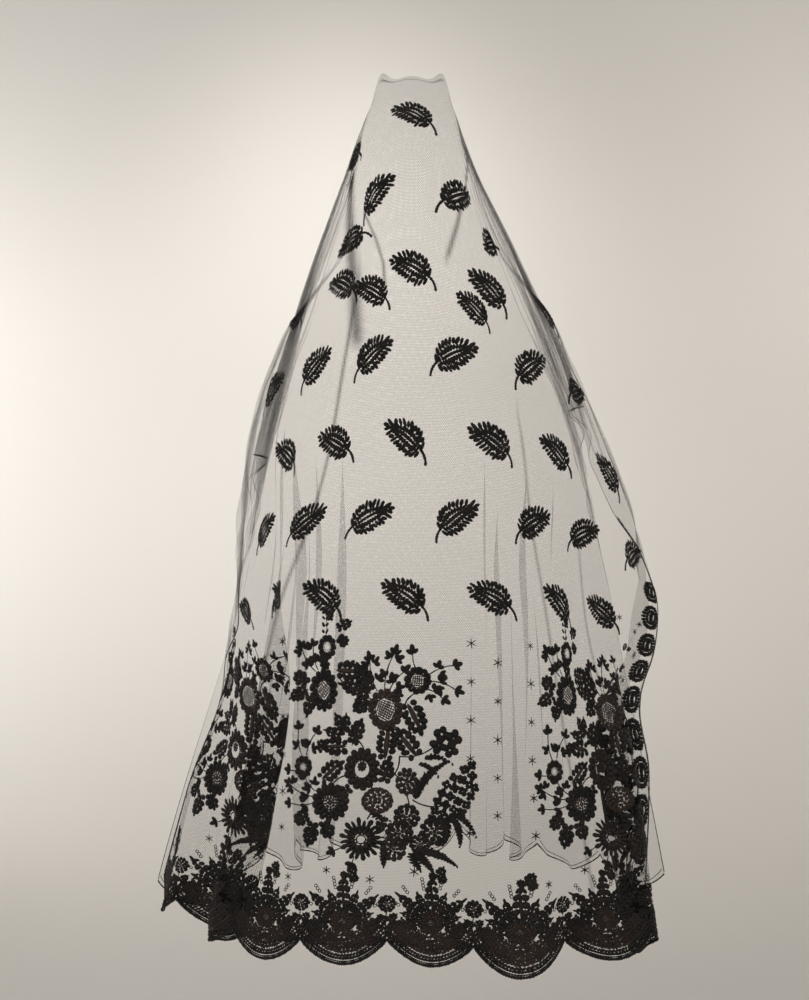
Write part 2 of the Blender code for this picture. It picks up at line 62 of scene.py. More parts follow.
# Sections of the draped veil, from the back hem over the crown to the front hem, as (v, z, slope,
# round, drops, middle, left, right). v: distance down the cloth. z: height at the middle. slope,
# round: how a row of the cloth falls away sideways, z - (sqrt(round^2 + (slope*u)^2) - round).
# drops: extra fall at the left and right edge. middle: y at the middle, in millimetres. left, right:
# the plan of the row from there out, as (pitches from the middle, x outward and y in millimetres)
SECTIONS = (
    (-1.29, -1.219, 0.05, 0.1, (0, 0), 290,
     ((1.5, 175, 262), (2.7, 268, 170)),
     ((1.6, 185, 262), (2.7, 290, 170))),
    (-0.815, -0.745, 0.3, 0.12, (0.06, 0.04), 240,
     ((1.5, 158, 228), (2.7, 236, 204), (3.5, 272, 196), (4.6, 302, 192)),
     ((1.6, 180, 228), (2.7, 286, 198), (3.1, 308, 195), (4.1, 338, 191))),
    (-0.475, -0.415, 0.5, 0.18, (0.114, 0.074), 205,
     ((1.5, 145, 198), (3.1, 214, 198), (4.1, 242, 194), (5.29, 262, 180)),
     ((1.5, 155, 198), (2.9, 244, 197), (3.6, 266, 193), (4.71, 290, 178))),
    (-0.245, -0.185, 0.75, 0.11, (0.045, 0.02), 130,
     ((0.8, 80, 112), (2.4, 155, 122), (5.3, 246, 160)),
     ((0.8, 80, 112), (2.2, 160, 120), (4.7, 268, 158))),
    (-0.13, -0.075, 0.84, 0.08, (0.039, 0.022), 90,
     ((0.7, 66, 60), (1.5, 100, 66), (2.5, 143, 80), (5.29, 240, 138)),
     ((0.7, 66, 60), (1.5, 104, 66), (2.5, 156, 80), (4.71, 262, 136))),
    (0, -0.006, 0.9, 0.03, (0.013, 0), 0,
     ((0.4, 46, 0), (1.2, 84, 10), (2.5, 138, 45), (5.29, 238, 116)),
     ((0.4, 46, 0), (1.2, 80, 10), (2.5, 151, 45), (4.71, 260, 114))),
    (0.13, -0.07, 0.83, 0.082, (0.052, 0.034), -85,
     ((0.5, 53, -72), (0.9, 78, -42), (1.6, 101, 0), (2.5, 142, 22), (5.29, 240, 95)),
     ((0.5, 54, -72), (0.9, 76, -42), (1.6, 105, 0), (2.5, 155, 22), (4.71, 262, 93))),
    (0.245, -0.177, 0.75, 0.109, (0.052, 0.028), -118,
     ((0.46, 52, -110), (0.9, 78, -72), (1.5, 93, -15), (2.5, 150, 12), (5.29, 246, 78)),
     ((0.54, 68, -105), (0.9, 88, -72), (1.5, 115, -20), (2.5, 180, 10), (4.71, 270, 76))),
    (0.36, -0.288, 0.6, 0.147, (0.109, 0.073), -120,
     ((1.1, 102, -70), (2.1, 172, -10), (3.5, 218, 22), (5.29, 252, 69)),
     ((0.9, 108, -92), (1.9, 196, -20), (3.2, 238, 20), (4.71, 282, 66))),
    (0.475, -0.408, 0.45, 0.183, (0.15, 0.106), -145,
     ((1.46, 137, -98), (2.46, 206, -30), (3.5, 240, 12), (5.29, 262, 68)),
     ((1.54, 169, -100), (2.54, 245, -25), (3.6, 284, 14), (4.71, 308, 56))),
    (0.59, -0.526, 0.36, 0.153, (0.127, 0.082), -165,
     ((1.1, 110, -150), (2.1, 188, -80), (3.2, 248, -5), (4.3, 268, 30), (5.29, 276, 79)),
     ((0.9, 110, -155), (1.9, 206, -95), (2.9, 291, -30), (3.7, 328, 12), (4.71, 350, 56))),
    (0.7, -0.634, 0.3, 0.127, (0.099, 0.061), -190,
     ((1.46, 155, -150), (2.46, 237, -72), (3.3, 274, 0), (4.3, 288, 42), (5.2, 294, 74)),
     ((1.54, 171, -150), (2.54, 249, -80), (3.54, 334, -5), (4.1, 364, 34), (4.71, 376, 66))),
    (0.815, -0.742, 0.25, 0.105, (0.07, 0.042), -200,
     ((1.1, 127, -172), (1.8, 200, -122), (2.65, 276, -45), (3.5, 314, 24), (4.8, 334, 70)),
     ((0.9, 109, -195), (1.9, 206, -165), (2.9, 270, -100), (3.6, 350, -40), (4.4, 382, 40))),
    (1.05, -0.983, 0.12, 0.1, (0.02, 0.012), -212,
     ((1.2, 142, -200), (2.1, 228, -160), (2.8, 305, -95), (3.5, 356, -25), (4.2, 372, 40)),
     ((0.9, 109, -222), (1.8, 206, -210), (2.75, 300, -165), (3.2, 362, -115), (4, 414, -20))),
    (1.29, -1.219, 0.05, 0.1, (-0.04, 0), -226,
     ((1.29, 156, -216), (2.3, 256, -175), (2.9, 322, -120), (3.6, 402, -60), (4.2, 424, 10)),
     ((0.71, 84, -245), (1.3, 157, -258), (1.71, 209, -215), (2.7, 334, -190), (3.2, 380, -125),
      (3.8, 402, -55))),
)
LEVELS, HEIGHTS, SLOPES, ROUNDS, DROPS, MIDDLES, LEFTS, RIGHTS = zip(*SECTIONS)

# Pleats, where the cloth turns back under itself and forward again, as (fall, side, crest, start, full,
# angle, bend, layer). fall: 1 front, -1 back. side: 1 right, -1 left. crest: pitches from the middle at
# start, elbow and hem. start, full: v where the fold begins and where it is whole. angle: its turn in
# degrees. bend: length of cloth in each of its two bends. layer: flat length between them at the hem
PLEATS = (
    (1, -1, (1.00, 1.80, 2.72), 0.35, 1.15, 175, 0.044, 0.016),
    (1, 1, (3.10, 3.02, 2.90), 0.68, 1.08, 170, 0.044, 0.010),
)
ELBOW = 0.815           # v of the elbow
LAYER_START = 0.3       # share of the layer that a pleat has where it begins

# Soft hanging folds, which deepen on the way down, as (fall, side, middle, wave, count, start, full,
# angle). middle: pitches from the middle of the cloth. wave: width of one fold in pitches. count: how
# many lie side by side. start, full: v where they begin and are whole. angle: steepest turn in degrees
WAVES = (
    (1, -1, 4.4, 1.0, 1.5, 0.84, 1.29, 30),
    (1, 1, 4.25, 0.92, 1.0, 0.56, 0.80, -62),
    (1, 1, 1.45, 1.9, 1.0, 0.80, 1.29, 9),
    (-1, -1, 2.10, 1.20, 2.6, 0.26, 0.84, 76),
    (-1, 1, 1.90, 1.10, 2.6, 0.26, 0.84, 76),
)

# Folds down each side, where the cloth between the two falls is wider than the way round: they run
# from the crown out to the side edges and die away up and down the edge
SIDE_FOLD_DEPTH = 0.012
SIDE_FOLD_WAVE = 0.24
SIDE_FOLD_SPAN = (0.20, 0.38)

FINE_STEP = 0.0025      # step along a row at which folds are summed
SLOPE_STEP = 0.002      # half the distance over which a row's direction is read


def through(knots, values, at):
    """Smooth curve through points: cubic between knots, with each knot's slope taken from the
    parabola through it and its two neighbours, and straight on past the end knots. Each knot has a
    row of values."""
    knots = np.asarray(knots, float)
    values = np.asarray(values, float)
    span = np.diff(knots)[:, None]
    chord = np.diff(values, axis=0) / span
    slope = np.empty_like(values)
    slope[1:-1] = (chord[:-1] * span[1:] + chord[1:] * span[:-1]) / (span[:-1] + span[1:])
    slope[0] = chord[0]
    slope[-1] = chord[-1]
    asked = np.asarray(at, float)
    at = np.clip(asked, knots[0], knots[-1])
    cell = np.clip(np.searchsorted(knots, at, side="right") - 1, 0, len(knots) - 2)
    width = (knots[cell + 1] - knots[cell])[..., None]
    t = (at - knots[cell])[..., None] / width
    first = (1 + 2 * t) * (1 - t) ** 2 * values[cell] + t * t * (3 - 2 * t) * values[cell + 1]
    second = t * (1 - t) ** 2 * slope[cell] - t * t * (1 - t) * slope[cell + 1]
    past = np.minimum(asked - knots[0], 0)[..., None] * slope[0]
    past = past + np.maximum(asked - knots[-1], 0)[..., None] * slope[-1]
    return first + second * width + past


def ease(t):
    """Smooth step from 0 to 1."""
    t = np.clip(t, 0.0, 1.0)
    return t * t * (3 - 2 * t)


def blend_weights(v):
    """How much of each section there is at v."""
    return through(LEVELS, np.eye(len(LEVELS)), v)


def edge_share(s):
    """How far out s is, as a share of the way to the side edge."""
    return np.where(s < 0, s / LEFT, s / RIGHT)


def plan(s, v):
    """Plan place (x, y) of the unfolded cloth at s across and v down: each section's row is a smooth
    curve through its points, and rows are blended down the cloth."""
    weights = blend_weights(v)
    place = np.zeros(s.shape + (2,))
    for k, (middle, left, right) in enumerate(zip(MIDDLES, LEFTS, RIGHTS)):
        row = [(-p, -x, y) for p, x, y in reversed(left)] + [(0, 0, middle)] + list(right)
        points = np.array(row) * (PITCH, 1, 1) / (1, 1000, 1000)
        place += weights[..., k, None] * through(points[:, 0], points[:, 1:], s)
    fold = np.interp(np.abs(v), SIDE_FOLD_SPAN, (1.0, 0.0)) * np.minimum(edge_share(s), 1.0) ** 2
    place[..., 0] += np.sign(s) * SIDE_FOLD_DEPTH * fold * np.cos(2 * np.pi * v / SIDE_FOLD_WAVE)
    return place


def height(s, v):
    """Height of the unfolded cloth: the middle profile, less the sideways fall of the row and the
    extra drop, which grows as the fourth power of the way to the edge, plus the bells of the ridge and
    its two horns on the crown."""
    weights = blend_weights(v)
    z, slope, bend, drops = (weights @ np.array(k) for k in (HEIGHTS, SLOPES, ROUNDS, DROPS))
    drop = np.where(s < 0, drops[..., 0], drops[..., 1]) * np.minimum(edge_share(s), 1.2) ** 4
    horns = np.exp(-((np.abs(s) - HORN_PLACE) / HORN_WIDTH) ** 2) * HORN_HEIGHT
    ridge = RIDGE_HEIGHT * np.exp(-(s / (1.5 * HORN_PLACE)) ** 4)
    crown = (horns + ridge) * np.exp(-(v / RIDGE_SPREAD) ** 2)
    return z - (np.sqrt(bend ** 2 + (slope * s) ** 2) - bend) - drop + crown


def pleat_turn(across, v, crest, start, full, angle, bend, layer):
    """Turn of the cloth, in radians, made by one pleat: it rises to the full angle over the first
    bend, holds over the layer and comes back over the second bend."""
    down = np.abs(v)
    grown = ease((down - start) / (full - start)) ** 2
    flat = layer * grown * np.interp(down, (start, FALL), (LAYER_START, 1.0))
    past = across - (PITCH * np.interp(down, (start, ELBOW, FALL), crest) - bend / 2)
    first = ease(past / bend)
    second = ease((past - bend - flat) / bend)
    return np.radians(angle) * grown * (first - second)


def wave_turn(across, v, middle, wave, count, start, full, angle):
    """Turn made by a run of soft folds: a sine across the cloth inside a smooth window, deepening
    from its start to the hem."""
    grown = ease((np.abs(v) - start) / (full - start))
    offset = across - middle * PITCH
    window = ease(2.5 * (1 - np.abs(offset) / (wave * count * PITCH / 2)))
    phase = 2 * np.pi * offset / (wave * PITCH)
    return np.radians(angle) * grown * window * np.sin(phase)


def folded(u, v):
    """Where cloth point u lies once pleats and folds are made: s along the unfolded row, and depth
    inward from it. Both are running sums, from the middle out, of the cosine and the sine of the
    turn, so folding keeps the length of the cloth."""
    reach = max(-LEFT, RIGHT) * 1.02
    steps = int(reach / FINE_STEP) + 2
    fine = np.arange(steps) * FINE_STEP
    s = np.empty_like(u)
    depth = np.empty_like(u)
    for side in (-1, 1):
        mine = (u < 0) if side < 0 else (u >= 0)
        if not mine.any():
            continue
        down = v[mine][:, None]
        turn = np.zeros((int(mine.sum()), steps))
        for rows, make in ((PLEATS, pleat_turn), (WAVES, wave_turn)):
            for fall, of_side, *shape in rows:
                if of_side == side:
                    turn += make(fine, down, *shape) * (down * fall > 0)
        cell = np.abs(u[mine]) / FINE_STEP
        whole = cell.astype(int)
        part = cell - whole
        pick = np.arange(len(whole))
        for rate, result, sign in ((np.cos(turn), s, side), (np.sin(turn), depth, 1)):
            total = np.zeros_like(rate)
            total[:, 1:] = np.cumsum((rate[:, 1:] + rate[:, :-1]) / 2, axis=1) * FINE_STEP
            value = total[pick, whole] * (1 - part) + total[pick, whole + 1] * part
            result[mine] = sign * value
    return s, depth


def drape(u, v):
    """Place in space of the cloth points (u, v)."""
    shape = u.shape
    u = u.ravel()
    v = v.ravel()
    s, depth = folded(u, v)
    tangent = plan(s + SLOPE_STEP, v) - plan(s - SLOPE_STEP, v)
    tangent /= np.linalg.norm(tangent, axis=-1, keepdims=True)
    inward = np.stack([-tangent[:, 1], tangent[:, 0]], axis=-1) * np.sign(v)[:, None]
    place = plan(s, v) + inward * depth[:, None]
    return np.column_stack([place, height(s, v)]).reshape(shape + (3,))


# Fine gathers, on top of the drape. Lengths in metres, angles in degrees
GATHER_WAVE = 0.047         # cloth in one side gather, at GATHER_REACH from the crown
GATHER_REACH = 0.45
GATHER_STEEPNESS = (0.105, 0.100)   # height of a side gather over its length, back and front
GATHER_LIMIT = 0.0115       # greatest height of a side gather
GATHER_SPAN = (40.0, 63.0)  # angle from the side line over which side gathers die away
HANG_WAVE = 0.072           # cloth in one hanging fold at the hem
HANG_HEIGHT = (0.0110, 0.003)       # back and front
EDGE_CALM = 0.10            # fine folds die away over this distance from a side edge
SOFT_HEIGHT = 0.0016        # slow unevenness of the whole cloth
BROW_HEIGHT = 0.0011        # fine wrinkles beside the brow
BROW_TURN = 0.085           # angle between two brow wrinkles, in radians

# The lookup grid of the draped cloth
GRID_STEP = (0.002, 0.004)
GRID_FOOT = 1.34

# Net ground
NET_COLUMNS = 380
NET_ROWS = ((0.0, 0.05, 28), (0.05, 0.56, 104), (0.56, 1.16, 84), (1.16, 1.29, 22))   # v from, to, rows

# Creases, where the net lies doubled in a narrow fold, as (half the width in metres, how far the
# holes close up, line). Lines down the cloth hold (v in metres, u in pitches), lines across it hold
# (u in pitches, v in metres)
CREASES_DOWN = (
    (0.003, 0.55, ((0.36, -0.8), (0.53, -1.05), (0.7, -1.33), (0.84, -1.7), (1.05, -2.25), (1.29, -2.72))),
    (0.013, 0.6, ((-0.44, -0.85), (-0.33, -0.9), (-0.25, -1), (-0.18, -1.15), (-0.09, -1.4))),
    (0.0034, 0.6, ((0.1, 1.05), (0.17, 0.92), (0.22, 0.7), (0.26, 0.55), (0.345, 0.4))),
    (0.0028, 0.5, ((0.26, -0.72), (0.28, -0.62), (0.31, -0.5), (0.35, -0.4), (0.39, -0.38))),
    (0.0028, 0.4, ((0.02, -0.5), (0.1, -0.92), (0.17, -1.1))),
    (0.0028, 0.4, ((0.02, 0.5), (0.08, 0.8), (0.15, 1.02))),
    (0.0026, 0.36, ((0.55, 1.3), (0.8, 1.62), (1.15, 2.05), (1.28, 2.12))),
    (0.0026, 0.34, ((0.72, 2.45), (0.9, 2.62), (1.1, 2.74), (1.28, 2.8))),
    (0.009, 0.45, ((0.33, 2.1), (0.42, 2.8), (0.52, 3.4), (0.64, 3.95), (0.7, 4.3))),
    (0.0085, 0.38, ((0.32, -2.2), (0.4, -2.95), (0.45, -3.5), (0.58, -4.3), (0.66, -4.9))),
)
CREASES_OVER = (
    (0.0016, 0.75, ((-0.42, 0.002), (-0.3, 0.003), (0, 0.006), (0.42, 0.002))),
    (0.0014, 0.55, ((-0.4, 0.014), (-0.2, 0.02), (0.05, 0.026), (0.4, 0.013))),
)
CREASE_FADE = 0.12      # share of a crease over which each end fades


def gathers(u, v):
    """Height of the fine folds over the smooth drape. Side gathers are sines of the angle about the
    crown, so they run out from it as rays and grow with distance. Hanging folds are sines across the
    cloth. Slow sines shift and weaken both, so that no two are alike. Brow wrinkles are sines of the
    angle from the middle line, and slow sines of u and v make the whole cloth uneven."""
    across = np.abs(u)
    side = np.where(u < 0, -1.0, 1.0)
    angle = np.arctan2(v, across + 0.01)
    reach = np.hypot(u, v)
    wander = 0.9 * np.sin(11 * reach + 2.1 * side) + 0.7 * np.sin(5.3 * angle + 17 * reach)
    phase = 2 * np.pi * angle * GATHER_REACH / GATHER_WAVE + wander + side
    wave = GATHER_WAVE * reach / GATHER_REACH
    steep = np.where(v < 0, *GATHER_STEEPNESS)
    height = np.minimum(steep * wave, GATHER_LIMIT)
    near, far = np.radians(GATHER_SPAN)
    window = ease((far - np.abs(angle)) / (far - near)) * ease((across - 0.05) / 0.09)
    uneven = 0.82 + 0.18 * np.sin(3.7 * phase / (2 * np.pi) + 6 * reach)
    sides = height * window * uneven * (np.sin(phase) + 0.22 * np.sin(2 * phase + 0.6))

    down = np.abs(v)
    spread = across / (0.45 + 0.55 * down / FALL)
    phase = 2 * np.pi * spread / HANG_WAVE + 1.3 * np.sin(3.4 * v + side)
    grown = ease((down - 0.38) / 0.5)
    wings = np.where(v < 0, 1.0, ease((across - 0.47) / 0.06))
    hanging = np.where(v < 0, *HANG_HEIGHT) * grown * wings * np.sin(phase)

    slow = np.sin(2 * np.pi * u / 0.19 + 3 * v) + np.sin(2 * np.pi * u / 0.083 - 5 * v + 1)
    soft = SOFT_HEIGHT * slow * ease((down - 0.10) / 0.5)
    ray = np.arctan2(across, down + 0.02)
    brow = BROW_HEIGHT * np.sin(2 * np.pi * ray / BROW_TURN + side)
    brow = brow * ease((down - 0.02) / 0.05) * ease((0.34 - down) / 0.12) * ease((across - 0.03) / 0.04)
    to_edge = np.minimum(u - LEFT, RIGHT - u)
    return (sides + hanging) * ease(to_edge / EDGE_CALM) + soft + brow * (1 - window)


def slope_normals(place):
    """Unit normals of a grid of points, away from the wearer: the cross product of the two steps."""
    down, across = np.gradient(place, axis=(0, 1))
    normal = np.cross(down, across)
    return normal / np.linalg.norm(normal, axis=-1, keepdims=True)


def draped_cloth():
    """The finished cloth as a lookup grid: its lines of u and v, its points and its normals."""
    across = np.arange(LEFT, RIGHT + GRID_STEP[0], GRID_STEP[0])
    down = np.arange(-GRID_FOOT, GRID_FOOT + GRID_STEP[1] / 2, GRID_STEP[1])
    u, v = np.meshgrid(across, down)
    base = np.concatenate([drape(u[k:k + 40], v[k:k + 40]) for k in range(0, len(down), 40)])
    place = base + slope_normals(base) * gathers(u, v)[..., None]
    return across, down, place, slope_normals(place)


def on_cloth(u, v, rise=0.0):
    """Place in space of the cloth points (u, v), moved out from the cloth by rise: the lookup grid is
    read by mixing the four grid points around each one."""
    across, down, place, normal = CLOTH
    x = np.clip((u - across[0]) / GRID_STEP[0], 0, len(across) - 1.001)
    y = np.clip((v - down[0]) / GRID_STEP[1], 0, len(down) - 1.001)
    i, j = x.astype(int), y.astype(int)
    s, t = (x - i)[..., None], (y - j)[..., None]

    def mixed(grid):
        upper = grid[j, i] * (1 - s) + grid[j, i + 1] * s
        lower = grid[j + 1, i] * (1 - s) + grid[j + 1, i + 1] * s
        return upper * (1 - t) + lower * t

    return mixed(place) + mixed(normal) * np.asarray(rise)[..., None]


CLOTH = draped_cloth()


def doubled(u, v):
    """How far the holes of the net close up, from 0 to 1: a bell across each crease, worked out from
    the distance to its line, which fades at both ends of the line."""
    runs = [(v, u, (1.0, PITCH), crease) for crease in CREASES_DOWN]
    runs += [(u, v, (PITCH, 1.0), crease) for crease in CREASES_OVER]
    dense = np.zeros(u.shape)
    for along, across, unit, (half, most, line) in runs:
        line = np.array(line) * unit
        start, end = line[0, 0], line[-1, 0]
        away = (across - np.interp(along, *line.T)) / half
        fading = CREASE_FADE * (end - start)
        ends = ease((along - start) / fading + 0.5) * ease((end - along) / fading + 0.5)
        dense = np.maximum(dense, most * np.exp(-away ** 2) * ends)
    return dense


def linked(name, data):
    """New object that holds data, in the scene."""
    thing = bpy.data.objects.new(name, data)
    bpy.context.scene.collection.objects.link(thing)
    return thing


def add_mesh(name, points, faces, material, **marks):
    """Mesh object at the origin from arrays of points and faces. Each mark holds one value for each
    point: a pair makes a UV map, a single number an attribute."""
    mesh = bpy.data.meshes.new(name)
    sizes = faces.shape[1]
    mesh.vertices.add(len(points))
    mesh.vertices.foreach_set("co", points.astype(np.float32).ravel())
    mesh.loops.add(faces.size)
    mesh.loops.foreach_set("vertex_index", faces.astype(np.int32).ravel())
    mesh.polygons.add(len(faces))
    mesh.polygons.foreach_set("loop_start", np.arange(len(faces), dtype=np.int32) * sizes)
    mesh.polygons.foreach_set("use_smooth", np.ones(len(faces), dtype=bool))
    for key, values in marks.items():
        if values.ndim > 1:
            layer = mesh.uv_layers.new(name=key)
            layer.data.foreach_set("uv", values[faces.ravel()].astype(np.float32).ravel())
        else:
            mark = mesh.attributes.new(key, "FLOAT", "POINT")
            mark.data.foreach_set("value", values.astype(np.float32))
    mesh.update(calc_edges=True)
    mesh.validate()
    mesh.materials.append(material)
    return linked(name, mesh)


def grid_faces(rows, cols, turned):
    """Four-sided faces between the points of a grid, which look the other way where turned."""
    index = np.arange(rows * cols).reshape(rows, cols)
    a, b, c, d = (k.ravel() for k in (index[:-1, :-1], index[1:, :-1], index[1:, 1:], index[:-1, 1:]))
    return np.column_stack([a, d, c, b] if turned else [a, b, c, d])


def net_fall(name, fall, material):
    """One fall of the net: a grid of cloth points from the crown ridge to the scalloped edge, where
    the last rows follow the arches. Its UV map holds u and v in metres."""
    u = np.linspace(LEFT_EDGE, RIGHT_EDGE, NET_COLUMNS + 1) * PITCH
    levels = np.concatenate([np.linspace(a, b, n + 1)[:-1] for a, b, n in NET_ROWS] + [[FALL]])
    foot = FALL + scalloped_edge(u) - EDGE_INSET
    band = ease((levels - (FALL - HEM_BAND)) / HEM_BAND)[:, None]
    v = fall * (levels[:, None] + band * (foot - FALL)[None, :])
    u = np.repeat(u[None, :], len(levels), axis=0)
    flat = np.column_stack([u.ravel(), v.ravel()])
    points = on_cloth(u, v).reshape(-1, 3)
    return add_mesh(name, points, grid_faces(*u.shape, fall < 0), material,
                    cloth=flat, doubled=doubled(u, v).ravel())


def scalloped_edge(u):
    """Distance of the scalloped edge past the notches: one arch to each pitch."""
    across = (u / PITCH - LEFT_EDGE) % 1.0
    return SCALLOP_DEPTH * np.abs(np.sin(np.pi * across)) ** SCALLOP_FULLNESS


# Embroidery. A stitch is a raised grain of thread, and a motif is an array of stitches, one row each:
# x to the right and y up in millimetres, angle in radians, length and width in millimetres, and its
# share of painted highlight, a lighter colour, from 0 to 1
STITCH_SIDES = 8
STITCH_RISE = 0.30          # height of a stitch over its width
RISE_LIMIT = 1.3            # millimetres
STITCH_LIFT = 0.1           # rim of a stitch over the net, in millimetres
STITCH_BACK = 0.15          # how far a stitch shows behind the net, in millimetres
EDGE_INSET = 0.0015         # net stops this far inside the edge cord


def stitches(x, y, angle, length, width, browned=0.0):
    """Rows of stitches from numbers or arrays of equal length."""
    columns = (np.asarray(k, float) for k in (x, y, angle, length, width, browned))
    return np.stack(np.broadcast_arrays(*columns), axis=-1).reshape(-1, 6)


def painted_highlight(motif, share):
    """A motif given share of painted highlight, a lighter colour, on all its stitches."""
    motif = motif.copy()
    motif[:, 5] = share
    return motif


def placed(motif, x=0.0, y=0.0, turn=0.0, size=1.0, flip=False, tall=1.0):
    """A motif turned, sized and moved to its place. flip mirrors it left to right first. tall
    stretches it upwards last."""
    motif = motif.copy()
    if flip:
        motif[:, 0] *= -1
        motif[:, 2] = np.pi - motif[:, 2]
    c, s = np.cos(turn) * size, np.sin(turn) * size
    px, py = motif[:, 0].copy(), motif[:, 1].copy()
    motif[:, 0] = x + c * px - s * py
    motif[:, 1] = y + tall * (s * px + c * py)
    motif[:, 2] += turn
    up = np.abs(np.sin(motif[:, 2]))
    motif[:, 3] *= size * (1 + (tall - 1) * up)
    motif[:, 4] *= size * (1 + (tall - 1) * (1 - up))
    return motif


def petals(radius, count, length, width, start=0.0):
    """Stitches standing out from a circle, evenly round it: a ring of petals."""
    angle = start + np.arange(count) * 2 * np.pi / count
    return stitches(radius * np.cos(angle), radius * np.sin(angle), angle, length, width)


def cord(points, step, width):
    """Stitches laid end over end along a line through points, as in chain stitch."""
    points = np.asarray(points, float)
    runs = np.hypot(*np.diff(points, axis=0).T)
    along = np.concatenate([[0], np.cumsum(runs)])
    middle = np.arange(step / 2, along[-1], step)
    x, y = (np.interp(middle, along, k) for k in points.T)
    ahead = np.minimum(middle + step / 2, along[-1])
    dx, dy = (np.interp(ahead, along, k) - np.interp(middle - step / 2, along, k) for k in points.T)
    return stitches(x, y, np.arctan2(dy, dx), 1.5 * step, width)


def bow(x0, y0, x1, y1, sag):
    """Points of a bowed line from one end to the other, pushed sideways by sag in the middle."""
    t = np.linspace(0, 1, 9)
    dx, dy = x1 - x0, y1 - y0
    out = 4 * t * (1 - t) * sag / max(np.hypot(dx, dy), 1e-6)
    return np.column_stack([x0 + dx * t - dy * out, y0 + dy * t + dx * out])


def ring(radius, width):
    """Small ring of chain stitch, of six stitches laid round a circle."""
    angle = np.arange(6) * np.pi / 3
    return stitches(radius * np.cos(angle), radius * np.sin(angle), angle + np.pi / 2,
                    1.25 * radius, width)


def circle(radius, count):
    """Points round a closed circle."""
    turn = np.linspace(0, 2 * np.pi, count + 1)
    return radius * np.column_stack([np.cos(turn), np.sin(turn)])


def lattice(radius, gap, width):
    """Crossed bars of thread that fill a circle, each as long as its chord."""
    offset = np.arange(-radius + gap / 2, radius, gap)
    chord = 2 * np.sqrt(radius ** 2 - offset ** 2)
    one = stitches(0 * offset, offset, 0.0, chord, width)
    return np.concatenate([placed(one, turn=0.6), placed(one, turn=0.6 + np.pi / 2)])


def leaf(length, width, lobes=5, slit=False):
    """Leaf that points along x from its foot at 0: pairs of round lobes lean forward from the mid rib,
    each as long as a sine of its place allows, with a tip. The mid rib gets painted highlight, a lighter
    colour: much on a slit leaf, little on others."""
    t = (np.arange(lobes) + 0.5) / (lobes + 0.45)
    half = width / 2 * np.sin(np.pi * t ** 0.75) ** 0.6
    reach = np.maximum(half * 1.05, 0.22 * width)
    rib = 0.05 * width if slit else 0.0
    sides = [stitches(length * t + 0.32 * half, k * (rib + half * 0.58), k * 0.95, reach, length / lobes)
             for k in (-1, 1)]
    tip = stitches(0.94 * length, 0, 0, 0.34 * length, 0.27 * width)
    middle = painted_highlight(stitches(0.5 * length, 0, 0, 0.9 * length, 0.28 * width), 0.9 if slit else 0.1)
    return np.concatenate(sides + [tip, middle])


def blade(length, width, bend):
    """Long plain leaf that points along x and bends by bend, in radians: stitches laid side by side
    across it, thickest at a third of its length."""
    t = np.linspace(0.04, 0.97, max(5, int(length / 3.6)))
    y = length * bend * t * t / 2
    wide = width * np.sin(np.pi * t ** 0.6) ** 0.8 + 1.0
    # The rib gets a strong painted highlight, a lighter colour.
    rib = painted_highlight(stitches(length * t, y, bend * t, 5.0, 2.4), 0.9)
    return np.concatenate([stitches(length * t, y, bend * t + 0.9, wide * 1.15, 5.0), rib])


def flower(radius, count, core, filling):
    """Flower head: an outer ring of round lobes, an inner ring between them, and a core that is left
    open with a fringe, or filled with lattice, with packed knots, or with an eye of knots to one side."""
    lobe = radius - core
    far, near = radius - 0.28 * lobe, core + 0.34 * lobe
    outer = petals(far, count, 0.60 * lobe, 2 * np.pi * far / count * 1.02)
    inner = petals(near, count, 0.80 * lobe, 2 * np.pi * near / count * 1.16, np.pi / count)
    parts = [outer, inner, cord(circle(core, 16), 2.4, 1.8)]
    if filling == "open":
        parts.append(petals(core * 0.72, 12, core * 0.5, 1.1))
    # The eye, the lattice and the packed knots get painted highlight, a lighter colour.
    if filling == "eye":
        eye = np.concatenate([petals(core * 0.40, 9, core * 0.46, core * 0.34),
                              petals(core * 0.12, 3, core * 0.3, core * 0.3)])
        parts.append(painted_highlight(placed(eye, 0.30 * core, 0.1 * core), 0.5))
    if filling == "lattice":
        parts.append(painted_highlight(lattice(core, 2.9, 1.75), 1.0))
    if filling == "packed":
        for share, knots in ((0.22, 4), (0.58, 9), (0.9, 13)):
            parts.append(painted_highlight(petals(core * share, knots, core * 0.40, core * 0.42, share), 0.8))
    return np.concatenate(parts)


def rose():
    """Full rose of unit radius: three crowded rings of lobes round a knot."""
    # The inner ring gets painted highlight, a lighter colour.
    return np.concatenate([petals(0.80, 11, 0.42, 0.50), petals(0.52, 8, 0.40, 0.42, 0.4),
                           painted_highlight(petals(0.26, 5, 0.32, 0.30, 0.2), 0.5), stitches(0, 0, 0, 0.24, 0.24)])


def aster():
    """Aster of unit radius: twenty long rays, every other one longer, round an open ring."""
    # The ring of short rays round the middle gets painted highlight, a lighter colour.
    return np.concatenate([petals(0.58, 20, 0.72, 0.20), petals(0.84, 10, 0.36, 0.22),
                           cord(circle(0.2, 12), 0.1, 0.07),
                           painted_highlight(petals(0.38, 12, 0.26, 0.20, 0.1), 0.7)])


def floret():
    """Floret of unit radius: four round petals."""
    return petals(0.52, 4, 0.98, 0.95, np.pi / 4)


